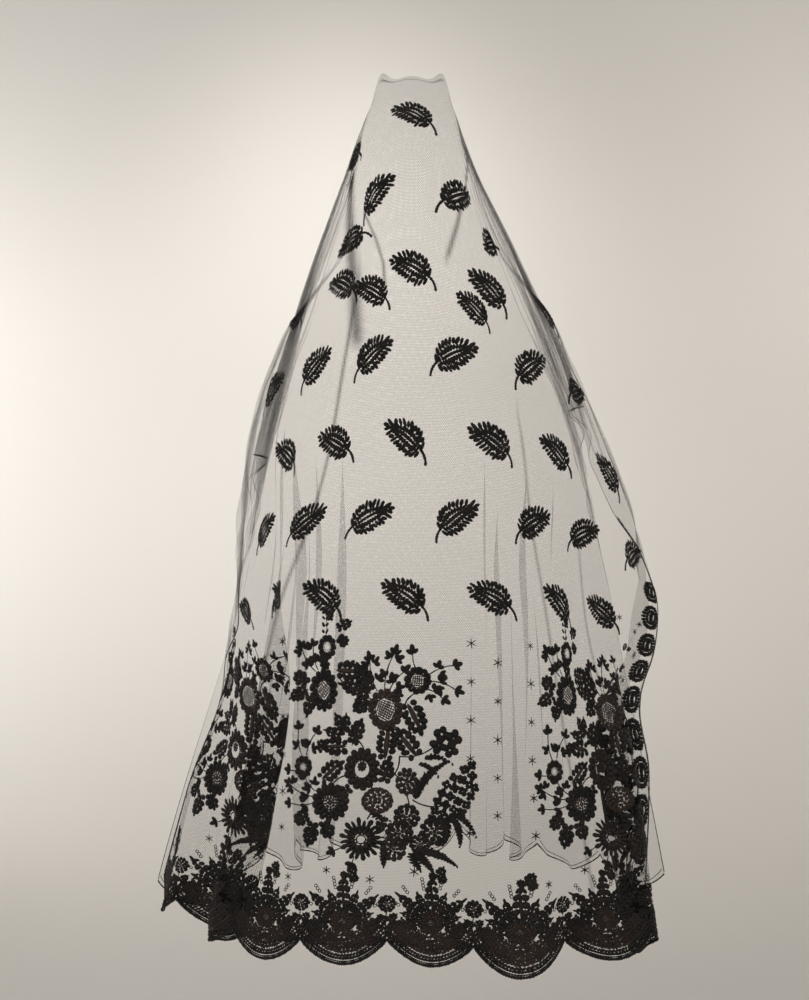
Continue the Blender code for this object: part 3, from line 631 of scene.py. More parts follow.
def bud_spray(count, length):
    """Spray that grows along x: a thin stem with a bud at its end and pairs of buds beside it."""
    parts = [cord(bow(0, 0, length, 0, 0.08 * length), 3.0, 1.9)]
    bud = np.concatenate([stitches(4.6, 0, 0, 10.5, 6.0), stitches(1.6, 3.4, 1.0, 8.6, 5.2),
                          stitches(1.6, -3.4, -1.0, 8.6, 5.2)])
    parts.append(placed(bud, length, 0, size=1.2))
    for k in range(count):
        x = length * (0.35 + 0.5 * k / max(count - 1, 1))
        for side in (-1, 1):
            parts.append(placed(bud, x, 4.6 * side, 0.9 * side, 1.15))
    return np.concatenate(parts)


def star():
    """Small star of six rays."""
    return np.concatenate([stitches(0, 0, k * np.pi / 3 + 0.5, 15.5, 1.8) for k in range(3)])


SPRIG_GRAINS = 11       # along each side
SPRIG_BEND = 0.006      # rise of the bend over the length squared
SPRIG_TILT = -0.55
SPRIG_SIZE = 1.22       # over the measures in sprig()


def sprig():
    """Feathered sprig that points left: grains lean out along both sides of a bent leaf, with a second
    row and a thick rib inside, on a stem that runs down to the right."""
    t = np.linspace(-0.94, 0.94, SPRIG_GRAINS)
    half = 13.5 * np.sqrt(1 - t ** 2) * (1 + 0.22 * t)
    parts = []
    for side in (-1, 1):
        lean = np.pi - side * (1.05 + 0.45 * t)
        ragged = np.sin(2.6 * np.arange(SPRIG_GRAINS) + side)
        parts.append(stitches(25 * t, side * half, lean + 0.16 * ragged, 10.5 + 2.0 * ragged, 4.8))
        parts.append(stitches(20 * t + 1.5, side * half * 0.46, lean, 8.0, 4.4))
    parts.append(stitches(-27, 0, 0, 8.5, 5.0))
    parts.append(cord(np.array([[-22, 0], [20, 0]]), 4.0, 5.0))
    shape = np.concatenate(parts)
    shape[:, 2] += 2 * SPRIG_BEND * -shape[:, 0] * np.abs(np.cos(shape[:, 2]))
    shape[:, 1] -= SPRIG_BEND * shape[:, 0] ** 2 - 2
    stem = cord(bow(18, -10, 28, -29, 2.5), 3.2, 3.6)
    return placed(np.concatenate([placed(shape, turn=SPRIG_TILT), stem]), size=SPRIG_SIZE)


# Bouquet: its flower heads as (kind, x, y, radius, tall, share of painted highlight, lobes, radius of the
# core), in millimetres from its middle. tall stretches a head upwards. Where a row stops, tall is 1, the
# rest 0
HEADS = (
    ("open", -70, 125, 15, 1.15, 0, 10, 7), ("lattice", -74, 67, 22.5, 1.3, 0, 14, 10.5),
    ("lattice", 15, 42, 24.5, 1.15, 0.8, 15, 14), ("lattice", 59, 81, 18.5, 1, 0, 12, 9.5),
    ("eye", -17, -38, 25, 1.2, 0.3, 14, 10.5), ("packed", -62, -85, 28, 1, 0, 14, 11),
    ("open", -105, -37, 14.5, 1.15, 0.2, 10, 6), ("packed", 4, -82, 22, 0.85, 0.9, 15, 17),
    ("rose", 44, -55, 16, 1.25, 0.4), ("rose", 44, -104, 19), ("rose", 34, -128, 20, 1, 0.2),
    ("rose", 82, -124, 21), ("rose", 26, -150, 18, 1, 0.4), ("rose", 62, -142, 15),
    ("aster", -18, -136, 31),
)
# Leaves as (x, y, turn in degrees from x towards y, length, width, slit)
BOUQUET_LEAVES = (
    (-66, 160, 92, 15, 11), (-57, 150, 24, 25, 17), (-54, 140, -36, 18, 18), (-74, 113, -84, 19, 16),
    (-98, 72, 142, 27, 22), (-98, 68, 204, 32, 19), (-94, 62, 258, 30, 18),
    (-56, 94, -2, 34, 27, True), (-4, 64, 118, 42, 25), (-4, 62, 162, 46, 20), (-6, 58, 218, 28, 22),
    (44, 56, -66, 48, 29, True), (40, 66, -160, 16, 15), (-32, -6, 68, 36, 22),
    (-34, -8, 178, 40, 23, True), (-38, 8, 122, 32, 17), (-42, 6, 164, 31, 15), (-40, 12, 88, 24, 13),
    (-80, -56, 38, 44, 24, True), (-84, -16, 52, 20, 17), (14, -28, 84, 50, 27, True),
    (12, -60, 78, 36, 22), (60, -24, 126, 48, 28, True), (-30, -62, 212, 24, 18),
    (-92, -102, 204, 27, 23), (-86, -110, 256, 37, 24), (-72, -108, 292, 28, 23),
    (14, -102, 250, 26, 16),
)
# Long plain leaves as (x, y, turn, length, width, bend in radians)
BOUQUET_BLADES = (
    (54, -78, 72, 66, 16, -0.9), (70, -22, 20, 32, 10, -1.3), (62, -30, -10, 28, 9, -1),
    (98, -106, -84, 37, 16, -0.5), (106, -102, -52, 40, 15, -0.9), (106, -98, -8, 38, 12, -1.4),
    (56, -150, -4, 60, 15, -0.6), (54, -154, -34, 40, 13, -0.5), (50, -156, -70, 28, 15, 0.3),
    (14, -146, -104, 30, 14, 0.4), (-4, -96, -60, 26, 10, 1.2),
)
# Sprays as (x, y, turn, pairs of buds, length)
BOUQUET_SPRAYS = (
    (-88, 92, 124, 2, 40), (-84, 94, 104, 1, 34), (4, 66, 104, 2, 44), (14, 68, 74, 2, 52),
    (20, 66, 52, 1, 34), (56, 98, 100, 0, 20), (76, 90, 20, 1, 34), (76, 80, -18, 1, 36),
    (70, 70, -30, 1, 26), (-108, -20, 98, 1, 36), (-100, -20, 64, 1, 34), (-84, -78, 158, 2, 48),
    (-86, -86, 182, 1, 40), (-84, -70, 132, 1, 26), (-116, -42, 176, 0, 12), (-28, -160, 252, 0, 10),
    (-44, -146, 208, 0, 14),
)
# Stems as (x, y) of both ends and the sag between them
BOUQUET_STEMS = (
    (-71, 110, -73, 94, 2), (-50, 84, -8, 64, -5), (40, 42, 60, 66, 5), (-10, 58, 2, 50, 1),
    (-36, 8, -14, -12, 4), (-60, -62, -30, -46, 5), (18, -54, 34, -20, -5), (34, -20, 86, -2, -7),
    (52, -80, 98, -86, -6), (-4, -62, -10, -108, 6), (2, -134, 30, -142, 3), (24, -40, 48, -92, 5),
)
# Lilac: florets in a cluster, as (x, y) from the bouquet's middle
LILAC = (
    (132, -30), (122, -36), (133, -44), (108, -48), (119, -50), (129, -56), (98, -58), (109, -62),
    (120, -66), (131, -72), (92, -70), (103, -74), (114, -80), (125, -84), (86, -82), (97, -86),
    (108, -92), (119, -95), (82, -95), (93, -98), (104, -104), (90, -108), (78, -106), (136, -60),
)
# Four-petalled flower: how far out its florets stand, their size and their turns in radians
QUATREFOIL = dict(x=97, y=0, radius=11.5, size=12.4, turns=(0.5, 2.1, 3.6, 5.2))


def planted(rows, make):
    """Motifs in their places: a row holds x, y and the turn in degrees, then what make asks for."""
    return [placed(make(*row[3:]), row[0], row[1], np.radians(row[2])) for row in rows]


def long_leaf(length, width, slit=False):
    """Leaf of the bouquet, with a pair of lobes to each 9 mm."""
    return leaf(length, width, max(3, round(length / 9)), slit)


def bouquet():
    """The whole bouquet: heads, leaves, blades, sprays, stems, the lilac and the four-petalled flower,
    each at its place."""
    parts = []
    for kind, x, y, radius, *rest in HEADS:
        tall, browned, lobes, core = rest + [1, 0, 0, 0][len(rest):]
        if kind in ("rose", "aster"):
            shape = placed(rose() if kind == "rose" else aster(), size=radius)
        else:
            shape = flower(radius, lobes, core, kind)
        # A head has at least its share of painted highlight, a lighter colour.
        shape[:, 5] = np.maximum(shape[:, 5], browned)
        parts.append(placed(shape, x, y, 0.3 * len(parts), tall=tall))
    parts += planted(BOUQUET_LEAVES, long_leaf)
    parts += planted(BOUQUET_BLADES, blade)
    parts += planted(BOUQUET_SPRAYS, bud_spray)
    parts += [cord(bow(*stem), 3.2, 2.4) for stem in BOUQUET_STEMS]
    parts += [placed(floret(), x, y, 0.35 * k, 7.4) for k, (x, y) in enumerate(LILAC)]
    for turn in QUATREFOIL["turns"]:
        parts.append(placed(floret(), QUATREFOIL["x"] + QUATREFOIL["radius"] * np.cos(turn),
                            QUATREFOIL["y"] + QUATREFOIL["radius"] * np.sin(turn), turn,
                            QUATREFOIL["size"]))
    return np.concatenate(parts)


def bud_chain(drop):
    """Chain of small leaves that hangs down by drop, in millimetres."""
    parts = [cord(bow(0, 0, 3, -drop, 2), 3.2, 1.6)]
    for k in range(3):
        y = -drop * (0.25 + 0.28 * k)
        for side in (-1, 1):
            parts.append(stitches(3.0 * side + 1, y, 1.57 - 0.7 * side, 7.5, 4.4))
    return np.concatenate(parts)


# Fan over each scallop, in millimetres: leaves stand round a full flower, as (turn in degrees, length,
# width), with chains of rings between them, as (turn, start, number of rings), one ring to a step
FAN_MIDDLE = (0.0, 24.0)
FAN_START = 9.0
RING_STEP = 4.6
FAN_LEAVES = (
    (-6, 42, 16), (17, 33, 14), (38, 50, 17), (64, 38, 15), (88, 57, 19), (114, 37, 15), (139, 51, 17),
    (162, 34, 14), (186, 43, 16),
)
FAN_CHAINS = ((5, 52, 3), (28, 50, 4), (52, 53, 3), (76, 52, 4), (101, 50, 4), (127, 54, 3), (151, 51, 3),
              (174, 52, 3))
# Low leaves as (x, y, turn, length, width), and the filling's roses as (x, y, radius)
SCALLOP_LEAVES = (
    (24, 10, 34, 34, 14), (32, 2, 56, 34, 14), (-28, 8, 148, 31, 17), (-34, 0, 124, 27, 15),
    (22, -4, 8, 34, 15), (-22, -4, 172, 34, 15),
)
FILLING_ROSES = ((-30, 3, 11), (-16, -6, 11), (0, -9, 12), (16, -6, 11), (30, 3, 11), (-13, 8, 9),
                 (11, 7, 8))
# Rows of knots that fill the arch, millimetres over its edge
FILLING_ROWS = 6
FILLING_START = 11.5
FILLING_STEP = 4.0
FILLING_LESS = 0.05         # each row is this share smaller than the one below it
# Cords along the arch as (share of its width, millimetres over its edge, stitch, width)
FINE_CORDS = ((1, 0, 3.2, 5.0), (0.985, 3.4, 3.2, 2.4), (0.985, 7.4, 3.4, 4.4))
PLAIN_CORDS = ((1, 0, 3.2, 2.2), (0.93, 5.0, 3.4, 1.1))
TOP_SPRIG = (8, 86)         # three small leaves over the fan
NOTCH_FLOWER = dict(y=50, radius=13)
# Leaves on its stem as (y, length, width, turn in radians)
NOTCH_LEAVES = ((24, 17, 12, 0.7), (22, 17, 12, 2.4), (6, 18, 11, 1.2), (6, 18, 11, 1.95))


def scallop(fine):
    """One scallop, from the middle of its arch with y up from the line of the notches. fine: with its
    fan of leaves, rings and dense filling. Otherwise only the edge cords."""
    half = 1000 * PITCH / 2
    x = np.linspace(-half, half, 61)
    arch = -1000 * SCALLOP_DEPTH * np.abs(np.cos(np.pi * x / (2 * half))) ** SCALLOP_FULLNESS
    edge = np.column_stack([x, arch])
    cords = FINE_CORDS if fine else PLAIN_CORDS
    parts = [cord(edge * (share, 1) + (0, lift), step, width) for share, lift, step, width in cords]
    if not fine:
        return np.concatenate(parts)
    for k in range(FILLING_ROWS):
        row = edge * (0.94 - FILLING_LESS * k, 1 - FILLING_LESS * k)
        row[:, 1] += FILLING_START + FILLING_STEP * k
        knots = painted_highlight(cord(row, 4.4, 4.4), 0.75 if k % 2 else 0.35)     # every other row has more painted highlight
        knots[:, 2] += 0.8 * (-1) ** k
        parts.append(knots)
    # The filling's roses and the fan's flowers get painted highlight, a lighter colour.
    for x0, y0, radius in FILLING_ROSES:
        parts.append(painted_highlight(placed(rose(), x0, y0, 0.1 * x0, radius), 0.55))
    fan_x, fan_y = FAN_MIDDLE
    parts.append(painted_highlight(placed(flower(17, 13, 6.5, "packed"), fan_x, fan_y), 0.7))
    parts.append(painted_highlight(placed(flower(8, 8, 5.5, "packed"), fan_x, fan_y), 0.4))
    for turn, length, width in FAN_LEAVES:
        out = placed(leaf(length, width), FAN_START)
        parts.append(placed(out, fan_x, fan_y, np.radians(turn)))
    for turn, start, count in FAN_CHAINS:
        for away in start + RING_STEP * np.arange(count):
            x, y = away * np.cos(np.radians(turn)), away * np.sin(np.radians(turn))
            parts.append(placed(ring(2.0, 1.4), fan_x + x, fan_y + y))
    parts += planted(SCALLOP_LEAVES, leaf)
    for length, width, turn in ((20, 15, 1.1), (14, 12, 0.1), (13, 11, 2.4)):
        parts.append(placed(leaf(length, width, 3), *TOP_SPRIG, turn))
    return np.concatenate(parts)


def notch_flower():
    """Small flower on a stem over the notch between two scallops."""
    y = NOTCH_FLOWER["y"]
    parts = [placed(rose(), 0, y, 0, NOTCH_FLOWER["radius"]), cord(bow(0, 4, 0, y - 9, 2), 3.0, 1.8)]
    parts += [placed(leaf(length, width, 3), 0, low, turn) for low, length, width, turn in NOTCH_LEAVES]
    return np.concatenate(parts)


# Side border: one slit oval to each half pitch of the edge
OVAL = dict(inset=20.0, half_length=27.0, half_width=15.0)
OVALS_START = 0.72          # level of the first, at the front right alone
OVALS_END = 0.08            # they stop this far above the notches of the hem
# Edge cords as (inset and width in millimetres, level where it starts). The back has the first alone
SIDE_CORDS = ((1.0, 1.8, 0.0), (1.8, 4.2, 0.50), (5.2, 2.4, 0.50))


def border_oval():
    """Slit oval, with its long side up: lobes stand out round it, and a thick curved bar fills it but
    for a slit at one side."""
    a, b = OVAL["half_width"], OVAL["half_length"]
    t = np.arange(20) * 2 * np.pi / 20
    outer = stitches(0.78 * a * np.cos(t), 0.82 * b * np.sin(t),
                     np.arctan2(a * np.sin(t), b * np.cos(t)), 9.5, 7.2)
    inner = stitches(0.42 * a * np.cos(t), 0.52 * b * np.sin(t), t + np.pi / 2, 6.5, 5.0)
    bar = cord(bow(-2, -0.5 * b, -2, 0.5 * b, -2.5), 3.6, 7.0)
    return np.concatenate([outer, inner, bar])


TURN_WAVER = 0.12       # radians
SIZE_WAVER = 0.13       # over the length and the width


def by_hand(motif):
    """The small unevenness of hand work: angles, lengths and widths waver by sines of the place."""
    x, y = motif[:, 0], motif[:, 1]
    wave, other = np.sin(1.7 * x + 2.9 * y), np.sin(2.3 * x - 1.1 * y + 0.5)
    return np.column_stack([x, y, motif[:, 2] + TURN_WAVER * other, motif[:, 3] * (1 + SIZE_WAVER * wave),
                            motif[:, 4] * (1 + SIZE_WAVER * other), motif[:, 5]])


def embroider(name, motif, material):
    """Mesh of stitches at their places in the cloth (x as u and y as v, in millimetres): each is a
    ring of points, a raised middle on the outer side and a low one behind the net. Its UV map runs
    along and across each stitch, in metres."""
    motif = by_hand(motif)
    turn = np.arange(STITCH_SIDES) * 2 * np.pi / STITCH_SIDES
    # Each point carries its stitch's share of painted highlight.
    browned = np.repeat(motif[:, 5], STITCH_SIDES + 2)
    x, y, angle, length, width = (motif[:, k, None] for k in range(5))
    a = np.append(np.cos(turn), [0, 0]) / 2 * length
    b = np.append(np.sin(turn), [0, 0]) / 2 * width
    u = (x + a * np.cos(angle) - b * np.sin(angle)) / 1000
    v = (y + a * np.sin(angle) + b * np.cos(angle)) / 1000
    rise = np.full(u.shape, STITCH_LIFT)
    rise[:, -2] = np.minimum(STITCH_RISE * width[:, 0], RISE_LIMIT) + STITCH_LIFT
    rise[:, -1] = -STITCH_BACK
    points = on_cloth(u, v, rise / 1000).reshape(-1, 3)
    pairs = [(k, (k + 1) % STITCH_SIDES) for k in range(STITCH_SIDES)]
    fan = [(STITCH_SIDES, after, k) for k, after in pairs]
    fan += [(STITCH_SIDES + 1, k, after) for k, after in pairs]
    first = np.arange(len(motif)) * (STITCH_SIDES + 2)
    faces = (first[:, None, None] + np.array(fan)).reshape(-1, 3)
    flat = np.column_stack([a.ravel(), b.ravel()]) / 1000
    return add_mesh(name, points, faces, material, stitch=flat, browned=browned)


def at(motif, u, v, fall=1):
    """A motif moved to the cloth point (u, v), in metres: its y runs up the fall, towards the crown."""
    motif = motif.copy()
    motif[:, 0] += 1000 * u
    motif[:, 1] = 1000 * v - fall * motif[:, 1]
    motif[:, 2] *= -fall
    return motif


# Places of the embroidery on the cloth. Even and odd rows of sprigs start at different pitches
SPRIG_ROWS = (0.13, 0.245, 0.36, 0.475, 0.59, 0.70, 0.815)
SPRIG_START = (-0.10, -0.46)
# Small shifts of single sprigs, by row and place in it: across and down, in millimetres
SPRIG_SHIFTS = {(0, 0): (12, -3), (2, 0): (9, 0), (2, 1): (1, 15), (3, 0): (-10, 0), (5, 0): (-7, 0),
                (5, -1): (9, 0), (6, -3): (-12, 14), (0, -1): (4, 0)}
SPRIG_SPANS = ((-1, 0), (0, 1), (-2, 2), (-2, 3), (-2, 3), (-2, 4), (-3, 3))   # those worked
# The sprigs of the back that show beside the neck: pitches across, metres down, turn in radians
BACK_SPRIGS = ((-0.62, -0.355, 0.0), (0.95, -0.375, 0.0), (1.45, -0.23, 1.3), (-1.0, -0.26, 0.6))
BOUQUET_PLACES = (-3.43, -0.43, 2.57)             # pitches across
BOUQUET_LEVEL = 1.012
CHAIN_LEVEL = 0.838                               # top of the small chain over each bouquet
CHAIN_SHIFT = -0.62                               # pitches from the bouquet's middle
CHAIN_DROP = 34                                   # millimetres
STAR_COLUMNS = ((0.65, 0.88), (0.97, 0.905), (1.40, 0.88))     # pitches across, first level
BOUQUET_STEP = 3                                  # pitches
STAR_MARGIN = 0.6                                 # pitches from a side edge
STAR_STEP = 0.051
STAR_FOOT = 1.16
LOW_STARS = (-1.05, -0.55, -0.05, 0.45)           # pitches from a bouquet, under it
LOW_STAR_LEVEL = 1.205
LOW_STAR_SHIFT = 0.012                            # every other one is this much higher
HEM_MARGIN = 2              # millimetres from a side edge that hold no hem stitch
# Stars and a bud beside the right border: pitches across, metres down
EDGE_STARS = ((3.2, 0.82), (4.4, 0.80), (3.5, 0.84), (3.65, 0.885), (4.3, 0.92), (3.9, 0.945))
EDGE_BUD = (3.35, 0.87)


def sprigs():
    """All the sprigs of the front fall, row by row, each turned a little by a sine of its place. Odd
    rows are mirrored."""
    parts = []
    for row, v in enumerate(SPRIG_ROWS):
        first, last = SPRIG_SPANS[row]
        for k in range(first, last + 1):
            place = SPRIG_START[row % 2] + k
            across, down = SPRIG_SHIFTS.get((row, k), (0, 0))
            shape = placed(sprig(), flip=row % 2 == 1, turn=0.12 * np.sin(2.3 * k + row))
            parts.append(at(shape, place * PITCH + across / 1000, v + down / 1000))
    return np.concatenate(parts)


def back_sprigs():
    """The sprigs of the back fall that show beside the neck."""
    return np.concatenate([at(placed(sprig(), turn=turn), across * PITCH, v, -1)
                           for across, v, turn in BACK_SPRIGS])


def stars():
    """Columns of stars between the bouquets, and a row under each bouquet."""
    parts = []
    for middle in BOUQUET_PLACES:
        for column, first in STAR_COLUMNS:
            right = middle - BOUQUET_PLACES[1] + column
            for start in (right - BOUQUET_STEP, right):
                inside = LEFT_EDGE + STAR_MARGIN < start < RIGHT_EDGE - STAR_MARGIN
                if inside and (start < 0 or middle > 0):
                    for v in np.arange(first, STAR_FOOT, STAR_STEP):
                        parts.append(at(star(), start * PITCH, v))
        for k, shift in enumerate(LOW_STARS):
            parts.append(at(star(), (middle + shift) * PITCH, LOW_STAR_LEVEL - LOW_STAR_SHIFT * (k % 2)))
    for u, v in EDGE_STARS:
        parts.append(at(star(), u * PITCH, v))
    parts.append(at(np.concatenate([placed(rose(), size=7), placed(leaf(13, 9, 3), 7, -2, -0.2)]),
                    EDGE_BUD[0] * PITCH, EDGE_BUD[1]))
    return np.concatenate(parts)


def hem(fall, fine):
    """The scallops of one hem, with the flowers over their notches where the work is fine. Stitches
    past the side edges are left out."""
    parts = []
    count = int(round(RIGHT_EDGE - LEFT_EDGE))
    for k in range(count):
        parts.append(at(scallop(fine), (LEFT_EDGE + k + 0.5) * PITCH, fall * FALL, fall))
        if fine and k:
            parts.append(at(notch_flower(), (LEFT_EDGE + k) * PITCH, fall * FALL, fall))
    motif = np.concatenate(parts)
    left, right = 1000 * LEFT + HEM_MARGIN, 1000 * RIGHT - HEM_MARGIN
    return motif[(motif[:, 0] > left) & (motif[:, 0] < right)]


def side_border(side, fall, first):
    """Edge cords down one side of one fall, with ovals inside them from the level first. Where first
    is FALL there are none."""
    edge = LEFT if side < 0 else RIGHT
    parts = []
    for v in np.arange(first, FALL - OVALS_END, PITCH / 2):
        oval = placed(border_oval(), flip=side > 0)
        parts.append(at(oval, edge - side * OVAL["inset"] / 1000, fall * v, fall))
    for away, width, top in SIDE_CORDS[:3 if fall > 0 else 1]:
        line = np.array([[0, -1000 * FALL], [0, -1000 * top]])
        parts.append(at(cord(line, 4.0, width), edge - side * away / 1000, 0, fall))
    return np.concatenate(parts)


# Materials. Colours are sRGB hex
NET_THREAD = "#26221F"      # fine cotton of the net, dyed black, a little dusty
EMBROIDERY = "#120E0D"      # glossed cotton of the stitches, brown-black
EMBROIDERY_HIGHLIGHT = "#3A2C26"  # painted highlight: a lighter colour that stands for light caught by the glossed thread
BACKDROP = "#D9D5CF"
CELL = 0.0024               # hole of the net as drawn, in metres. The real one is about 1.5 mm
NET_COVER = 0.16            # share of the net that thread fills
DRAWN_THREAD = 0.20         # width of a drawn thread over the hole
THREAD_SOFT = 0.04          # softness of its edge over the hole
DRAWN_YARN = 0.0009         # thread of the stitches as drawn, in metres. The real one is 0.4 mm
WAVE_BANDS = 3.2            # bands of the wave pattern in one unit


def linear(colour):
    """Linear colour from sRGB hex."""
    s = np.array([int(colour[k:k + 2], 16) for k in (1, 3, 5)]) / 255
    return (*np.where(s <= 0.04045, s / 12.92, ((s + 0.055) / 1.055) ** 2.4), 1.0)


def node(tree, kind, **values):
    """Add a node. A value goes to the setting of its name, or else to the input of its name, or of its
    place for i and a number. A value that is a socket is linked."""
    made = tree.nodes.new("ShaderNode" + kind)
    for key, value in values.items():
        name = int(key[1:]) if key[1:].isdigit() else key
        if hasattr(made, key):
            setattr(made, key, value)
        elif isinstance(value, bpy.types.NodeSocket):
            tree.links.new(value, made.inputs[name])
        else:
            made.inputs[name].default_value = value
    return made


def new_material(name, roughness, shine):
    """Principled material of one roughness and shine: itself, its node tree and its shader."""
    material = bpy.data.materials.new(name)
    material.use_nodes = True
    shader = material.node_tree.nodes["Principled BSDF"]
    shader.inputs["Roughness"].default_value = roughness
    shader.inputs["Specular IOR Level"].default_value = shine
    return material, material.node_tree, shader


def hexagon_net():
    """Machine-made cotton net: matt twisted threads round six-sided holes, so cloth behind it stays
    clear to the eye. Two grids of oblong cells, half a cell apart, give each point its nearest hole.
    The distance from the middle of that hole, square to its sides, makes the thread. The thread is
    drawn wider than it is and thinner in cover, so that it holds together at a distance."""
    material, tree, shader = new_material("machine net, matt black cotton", 0.85, 0.2)
    shader.inputs["Base Color"].default_value = linear(NET_THREAD)

    def step(kind, operation, *values, give=0):
        """One step of arithmetic on values."""
        links = {"i%d" % k: value for k, value in enumerate(values)}
        return node(tree, kind, operation=operation, **links).outputs[give]

    place = node(tree, "UVMap", uv_map="cloth").outputs["UV"]
    grid = step("VectorMath", "MULTIPLY", place, (1 / CELL, 1 / CELL, 0))
    half = (0.5, 3 ** 0.5 / 2, 0.5)
    grids = (grid, step("VectorMath", "ADD", grid, (*half[:2], 0)))
    holes = [step("VectorMath", "WRAP", k, half, tuple(-h for h in half)) for k in grids]
    far = [step("VectorMath", "LENGTH", hole, give="Value") for hole in holes]
    nearer = step("Math", "LESS_THAN", *far)
    pick = node(tree, "Mix", data_type="VECTOR", i0=nearer, i4=holes[1], i5=holes[0]).outputs[1]
    folded_in = step("VectorMath", "ABSOLUTE", pick)
    slant = step("VectorMath", "DOT_PRODUCT", folded_in, (0.5, 3 ** 0.5 / 2, 0), give="Value")
    straight = node(tree, "SeparateXYZ", i0=folded_in).outputs["X"]
    out = step("Math", "MAXIMUM", slant, straight)
    inner = 0.5 - DRAWN_THREAD / 2
    thread = node(tree, "MapRange", interpolation_type="SMOOTHSTEP", i0=out, i1=inner - THREAD_SOFT,
                  i2=inner + THREAD_SOFT, i3=0.0, i4=NET_COVER / (2 * DRAWN_THREAD)).outputs[0]
    tree.links.new(with_mark(tree, thread, "doubled"), shader.inputs["Alpha"])
    return material


def with_mark(tree, share, mark):
    """A share raised by a mark of the mesh, up to 1."""
    more = node(tree, "Attribute", attribute_name=mark).outputs["Fac"]
    return node(tree, "Math", operation="ADD", use_clamp=True, i0=share, i1=more).outputs[0]


def cloudy(tree, scale, detail, **spread):
    """Soft patches over the object: a noise pattern, spread by the inputs of a map of ranges."""
    place = node(tree, "TexCoord").outputs["Object"]
    noise = node(tree, "TexNoise", Vector=place, Scale=scale, Detail=detail).outputs["Fac"]
    return node(tree, "MapRange", i0=noise, **spread).outputs[0]


def mixed_colour(tree, shader, share, colour, other):
    """The shader's colour goes from colour to other by share."""
    tint = node(tree, "Mix", data_type="RGBA", i0=share, i6=linear(colour), i7=linear(other))
    tree.links.new(tint.outputs[2], shader.inputs["Base Color"])


def satin_stitch():
    """Hand-run cotton in satin and chain stitch: raised, with a low gloss along the threads, and a painted
    highlight, a lighter colour, in noise patches and on marked stitches. Bands across each stitch stand
    for its threads, drawn coarser than they are."""
    material, tree, shader = new_material("satin stitch, glossed black cotton", 0.55, 0.35)
    across = node(tree, "UVMap", uv_map="stitch").outputs["UV"]
    # Painted highlight: the colour goes to a lighter tone in noise patches and on marked stitches.
    highlight_spots = cloudy(tree, 38.0, 3.0, i1=0.45, i2=0.75, i4=0.5)
    mixed_colour(tree, shader, with_mark(tree, highlight_spots, "browned"), EMBROIDERY, EMBROIDERY_HIGHLIGHT)
    bands = node(tree, "TexWave", bands_direction="X", Vector=across,
                 Scale=1 / DRAWN_YARN / WAVE_BANDS, Distortion=1.5, Detail=1.0).outputs["Fac"]
    bump = node(tree, "Bump", Height=bands, Strength=0.7, Distance=0.0006)
    tree.links.new(bump.outputs[0], shader.inputs["Normal"])
    return material


def plain_paper():
    """Matt seamless paper for the floor and the wall behind, a little cloudy."""
    material, tree, shader = new_material("seamless paper, matt", 0.95, 0.5)
    soft = cloudy(tree, 0.6, 1.0, i3=0.0, i4=0.05)
    mixed_colour(tree, shader, soft, BACKDROP, "#FFFFFF")
    return material


def carry(piece):
    """A finished piece rides on the one body."""
    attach(piece, "root")
    return piece


def build_veil():
    """Every piece of the veil. The parts of the model that each stands for are hidden."""
    ground = hexagon_net()
    fine = satin_stitch()
    front = {
        "front_sprigs": (sprigs(),),
        "front_stars": (stars(),),
        "front_hem_lace": (hem(1, True), "hem_front_left", "hem_front_centre", "hem_front_right"),
        "front_left_border": (side_border(-1, 1, FALL), "border_front_left"),
        "front_right_border": (side_border(1, 1, OVALS_START), "border_front_right"),
    }
    for name, middle in zip(("left", "centre", "right"), BOUQUET_PLACES):
        chain = at(bud_chain(CHAIN_DROP), (middle + CHAIN_SHIFT) * PITCH, CHAIN_LEVEL)
        whole = np.concatenate([at(bouquet(), middle * PITCH, BOUQUET_LEVEL), chain])
        front["bouquet_" + name] = (whole,)
    back = {
        "back_sprigs": (back_sprigs(),),
        "back_hem_lace": (hem(-1, False), "hem_back_left", "hem_back_centre", "hem_back_right"),
        "back_left_border": (side_border(-1, -1, FALL), "border_back_left"),
        "back_right_border": (side_border(1, -1, FALL), "border_back_right"),
    }
    falls = (
        ("front_net", 1, front, ("crown_net", "face_net", "front_centre_net", "front_left_pleat_net",
                                 "front_right_pleat_net", "front_left_wing_net", "front_right_wing_net")),
        ("back_net", -1, back, ("nape_net", "back_left_net", "back_centre_net", "back_right_net")),
    )
    for name, fall, work, nodes in falls:
        net = carry(net_fall(name, fall, ground))
        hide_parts(*nodes)
        for piece_name, (motif, *stands_for) in work.items():
            piece = carry(embroider(piece_name, motif, fine))
            if stands_for:
                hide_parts(*stands_for)


# Studio. The camera stands before the veil, a little under half its height, and looks slightly down
CAMERA_PLACE = (-0.011, -2.25, -0.4605)
CAMERA_TILT = 4.2           # degrees down
LENS = 54.0                 # mm, on a frame 36 mm high
FLOOR = -1.62
WALL_PLACE = 2.6
COVE = 1.2                  # radius between floor and wall
WALL_TOP = 4.5
STAGE_REACH = 6.0
ROOM_LIGHT = 0.40
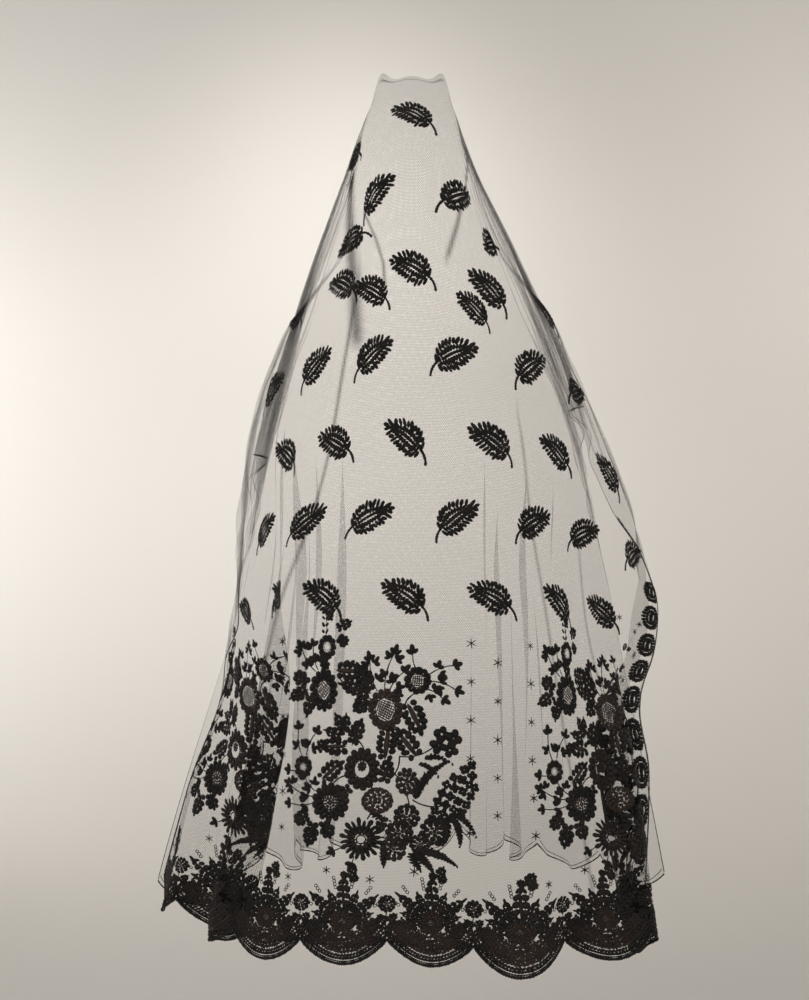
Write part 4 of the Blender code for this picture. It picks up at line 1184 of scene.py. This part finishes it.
# Lights as (name, place, aim, size, power, spread in degrees, colour)
LIGHTS = (
    ("window", (-2.6, -2.0, 0.5), (0.0, 0.2, -0.6), 2.2, 42, 180, "#FFFEFC"),
    ("fill", (2.8, -2.0, 0.6), (0.0, 0.2, -0.6), 2.4, 27, 180, "#FFFDFB"),
    ("paper_left", (-1.85, 1.55, -0.35), (-0.6, 2.6, -0.42), 0.8, 15, 180, "#FFFEFE"),
    ("paper_right", (1.75, 1.45, 0.0), (0.7, 2.6, -0.2), 0.8, 7, 180, "#FFFBF7"),
    ("paper_middle", (-0.3, 1.3, 1.2), (-0.1, 2.6, -0.4), 0.6, 3, 60, "#FFFCF9"),
)


def studio():
    """Pale paper that runs from the floor up the wall, soft lights and the camera."""
    turn = np.radians(np.linspace(0, 90, 25))
    profile = [(-STAGE_REACH, FLOOR)]
    profile += [(WALL_PLACE - COVE + COVE * np.sin(t), FLOOR + COVE - COVE * np.cos(t)) for t in turn]
    profile.append((WALL_PLACE, WALL_TOP))
    points = np.array([(x, y, z) for y, z in profile for x in (-STAGE_REACH, STAGE_REACH)])
    add_mesh("paper", points, grid_faces(len(profile), 2, True), plain_paper())

    for name, place, aim, size, power, spread, colour in LIGHTS:
        lamp = bpy.data.lights.new(name, "AREA")
        lamp.size = size
        lamp.energy = power
        lamp.color = linear(colour)[:3]
        lamp.spread = np.radians(spread)
        thing = linked(name, lamp)
        thing.location = place
        thing.rotation_euler = (Vector(aim) - thing.location).to_track_quat("-Z", "Y").to_euler()
    world = bpy.data.worlds.new("soft room")
    world.use_nodes = True
    air = world.node_tree.nodes["Background"]
    air.inputs["Color"].default_value = linear("#F6F3EE")
    air.inputs["Strength"].default_value = ROOM_LIGHT

    camera = bpy.data.cameras.new("camera")
    camera.sensor_fit = "VERTICAL"
    camera.sensor_height = 36.0
    camera.lens = LENS
    eye = linked("camera", camera)
    eye.location = CAMERA_PLACE
    eye.rotation_euler = (np.radians(90 - CAMERA_TILT), 0.0, 0.0)
    scene = bpy.context.scene
    scene.world = world
    scene.camera = eye
    scene.view_settings.view_transform = "Standard"
    scene.cycles.transparent_max_bounces = 48       # enough layers of net behind one another


build_veil()
studio()
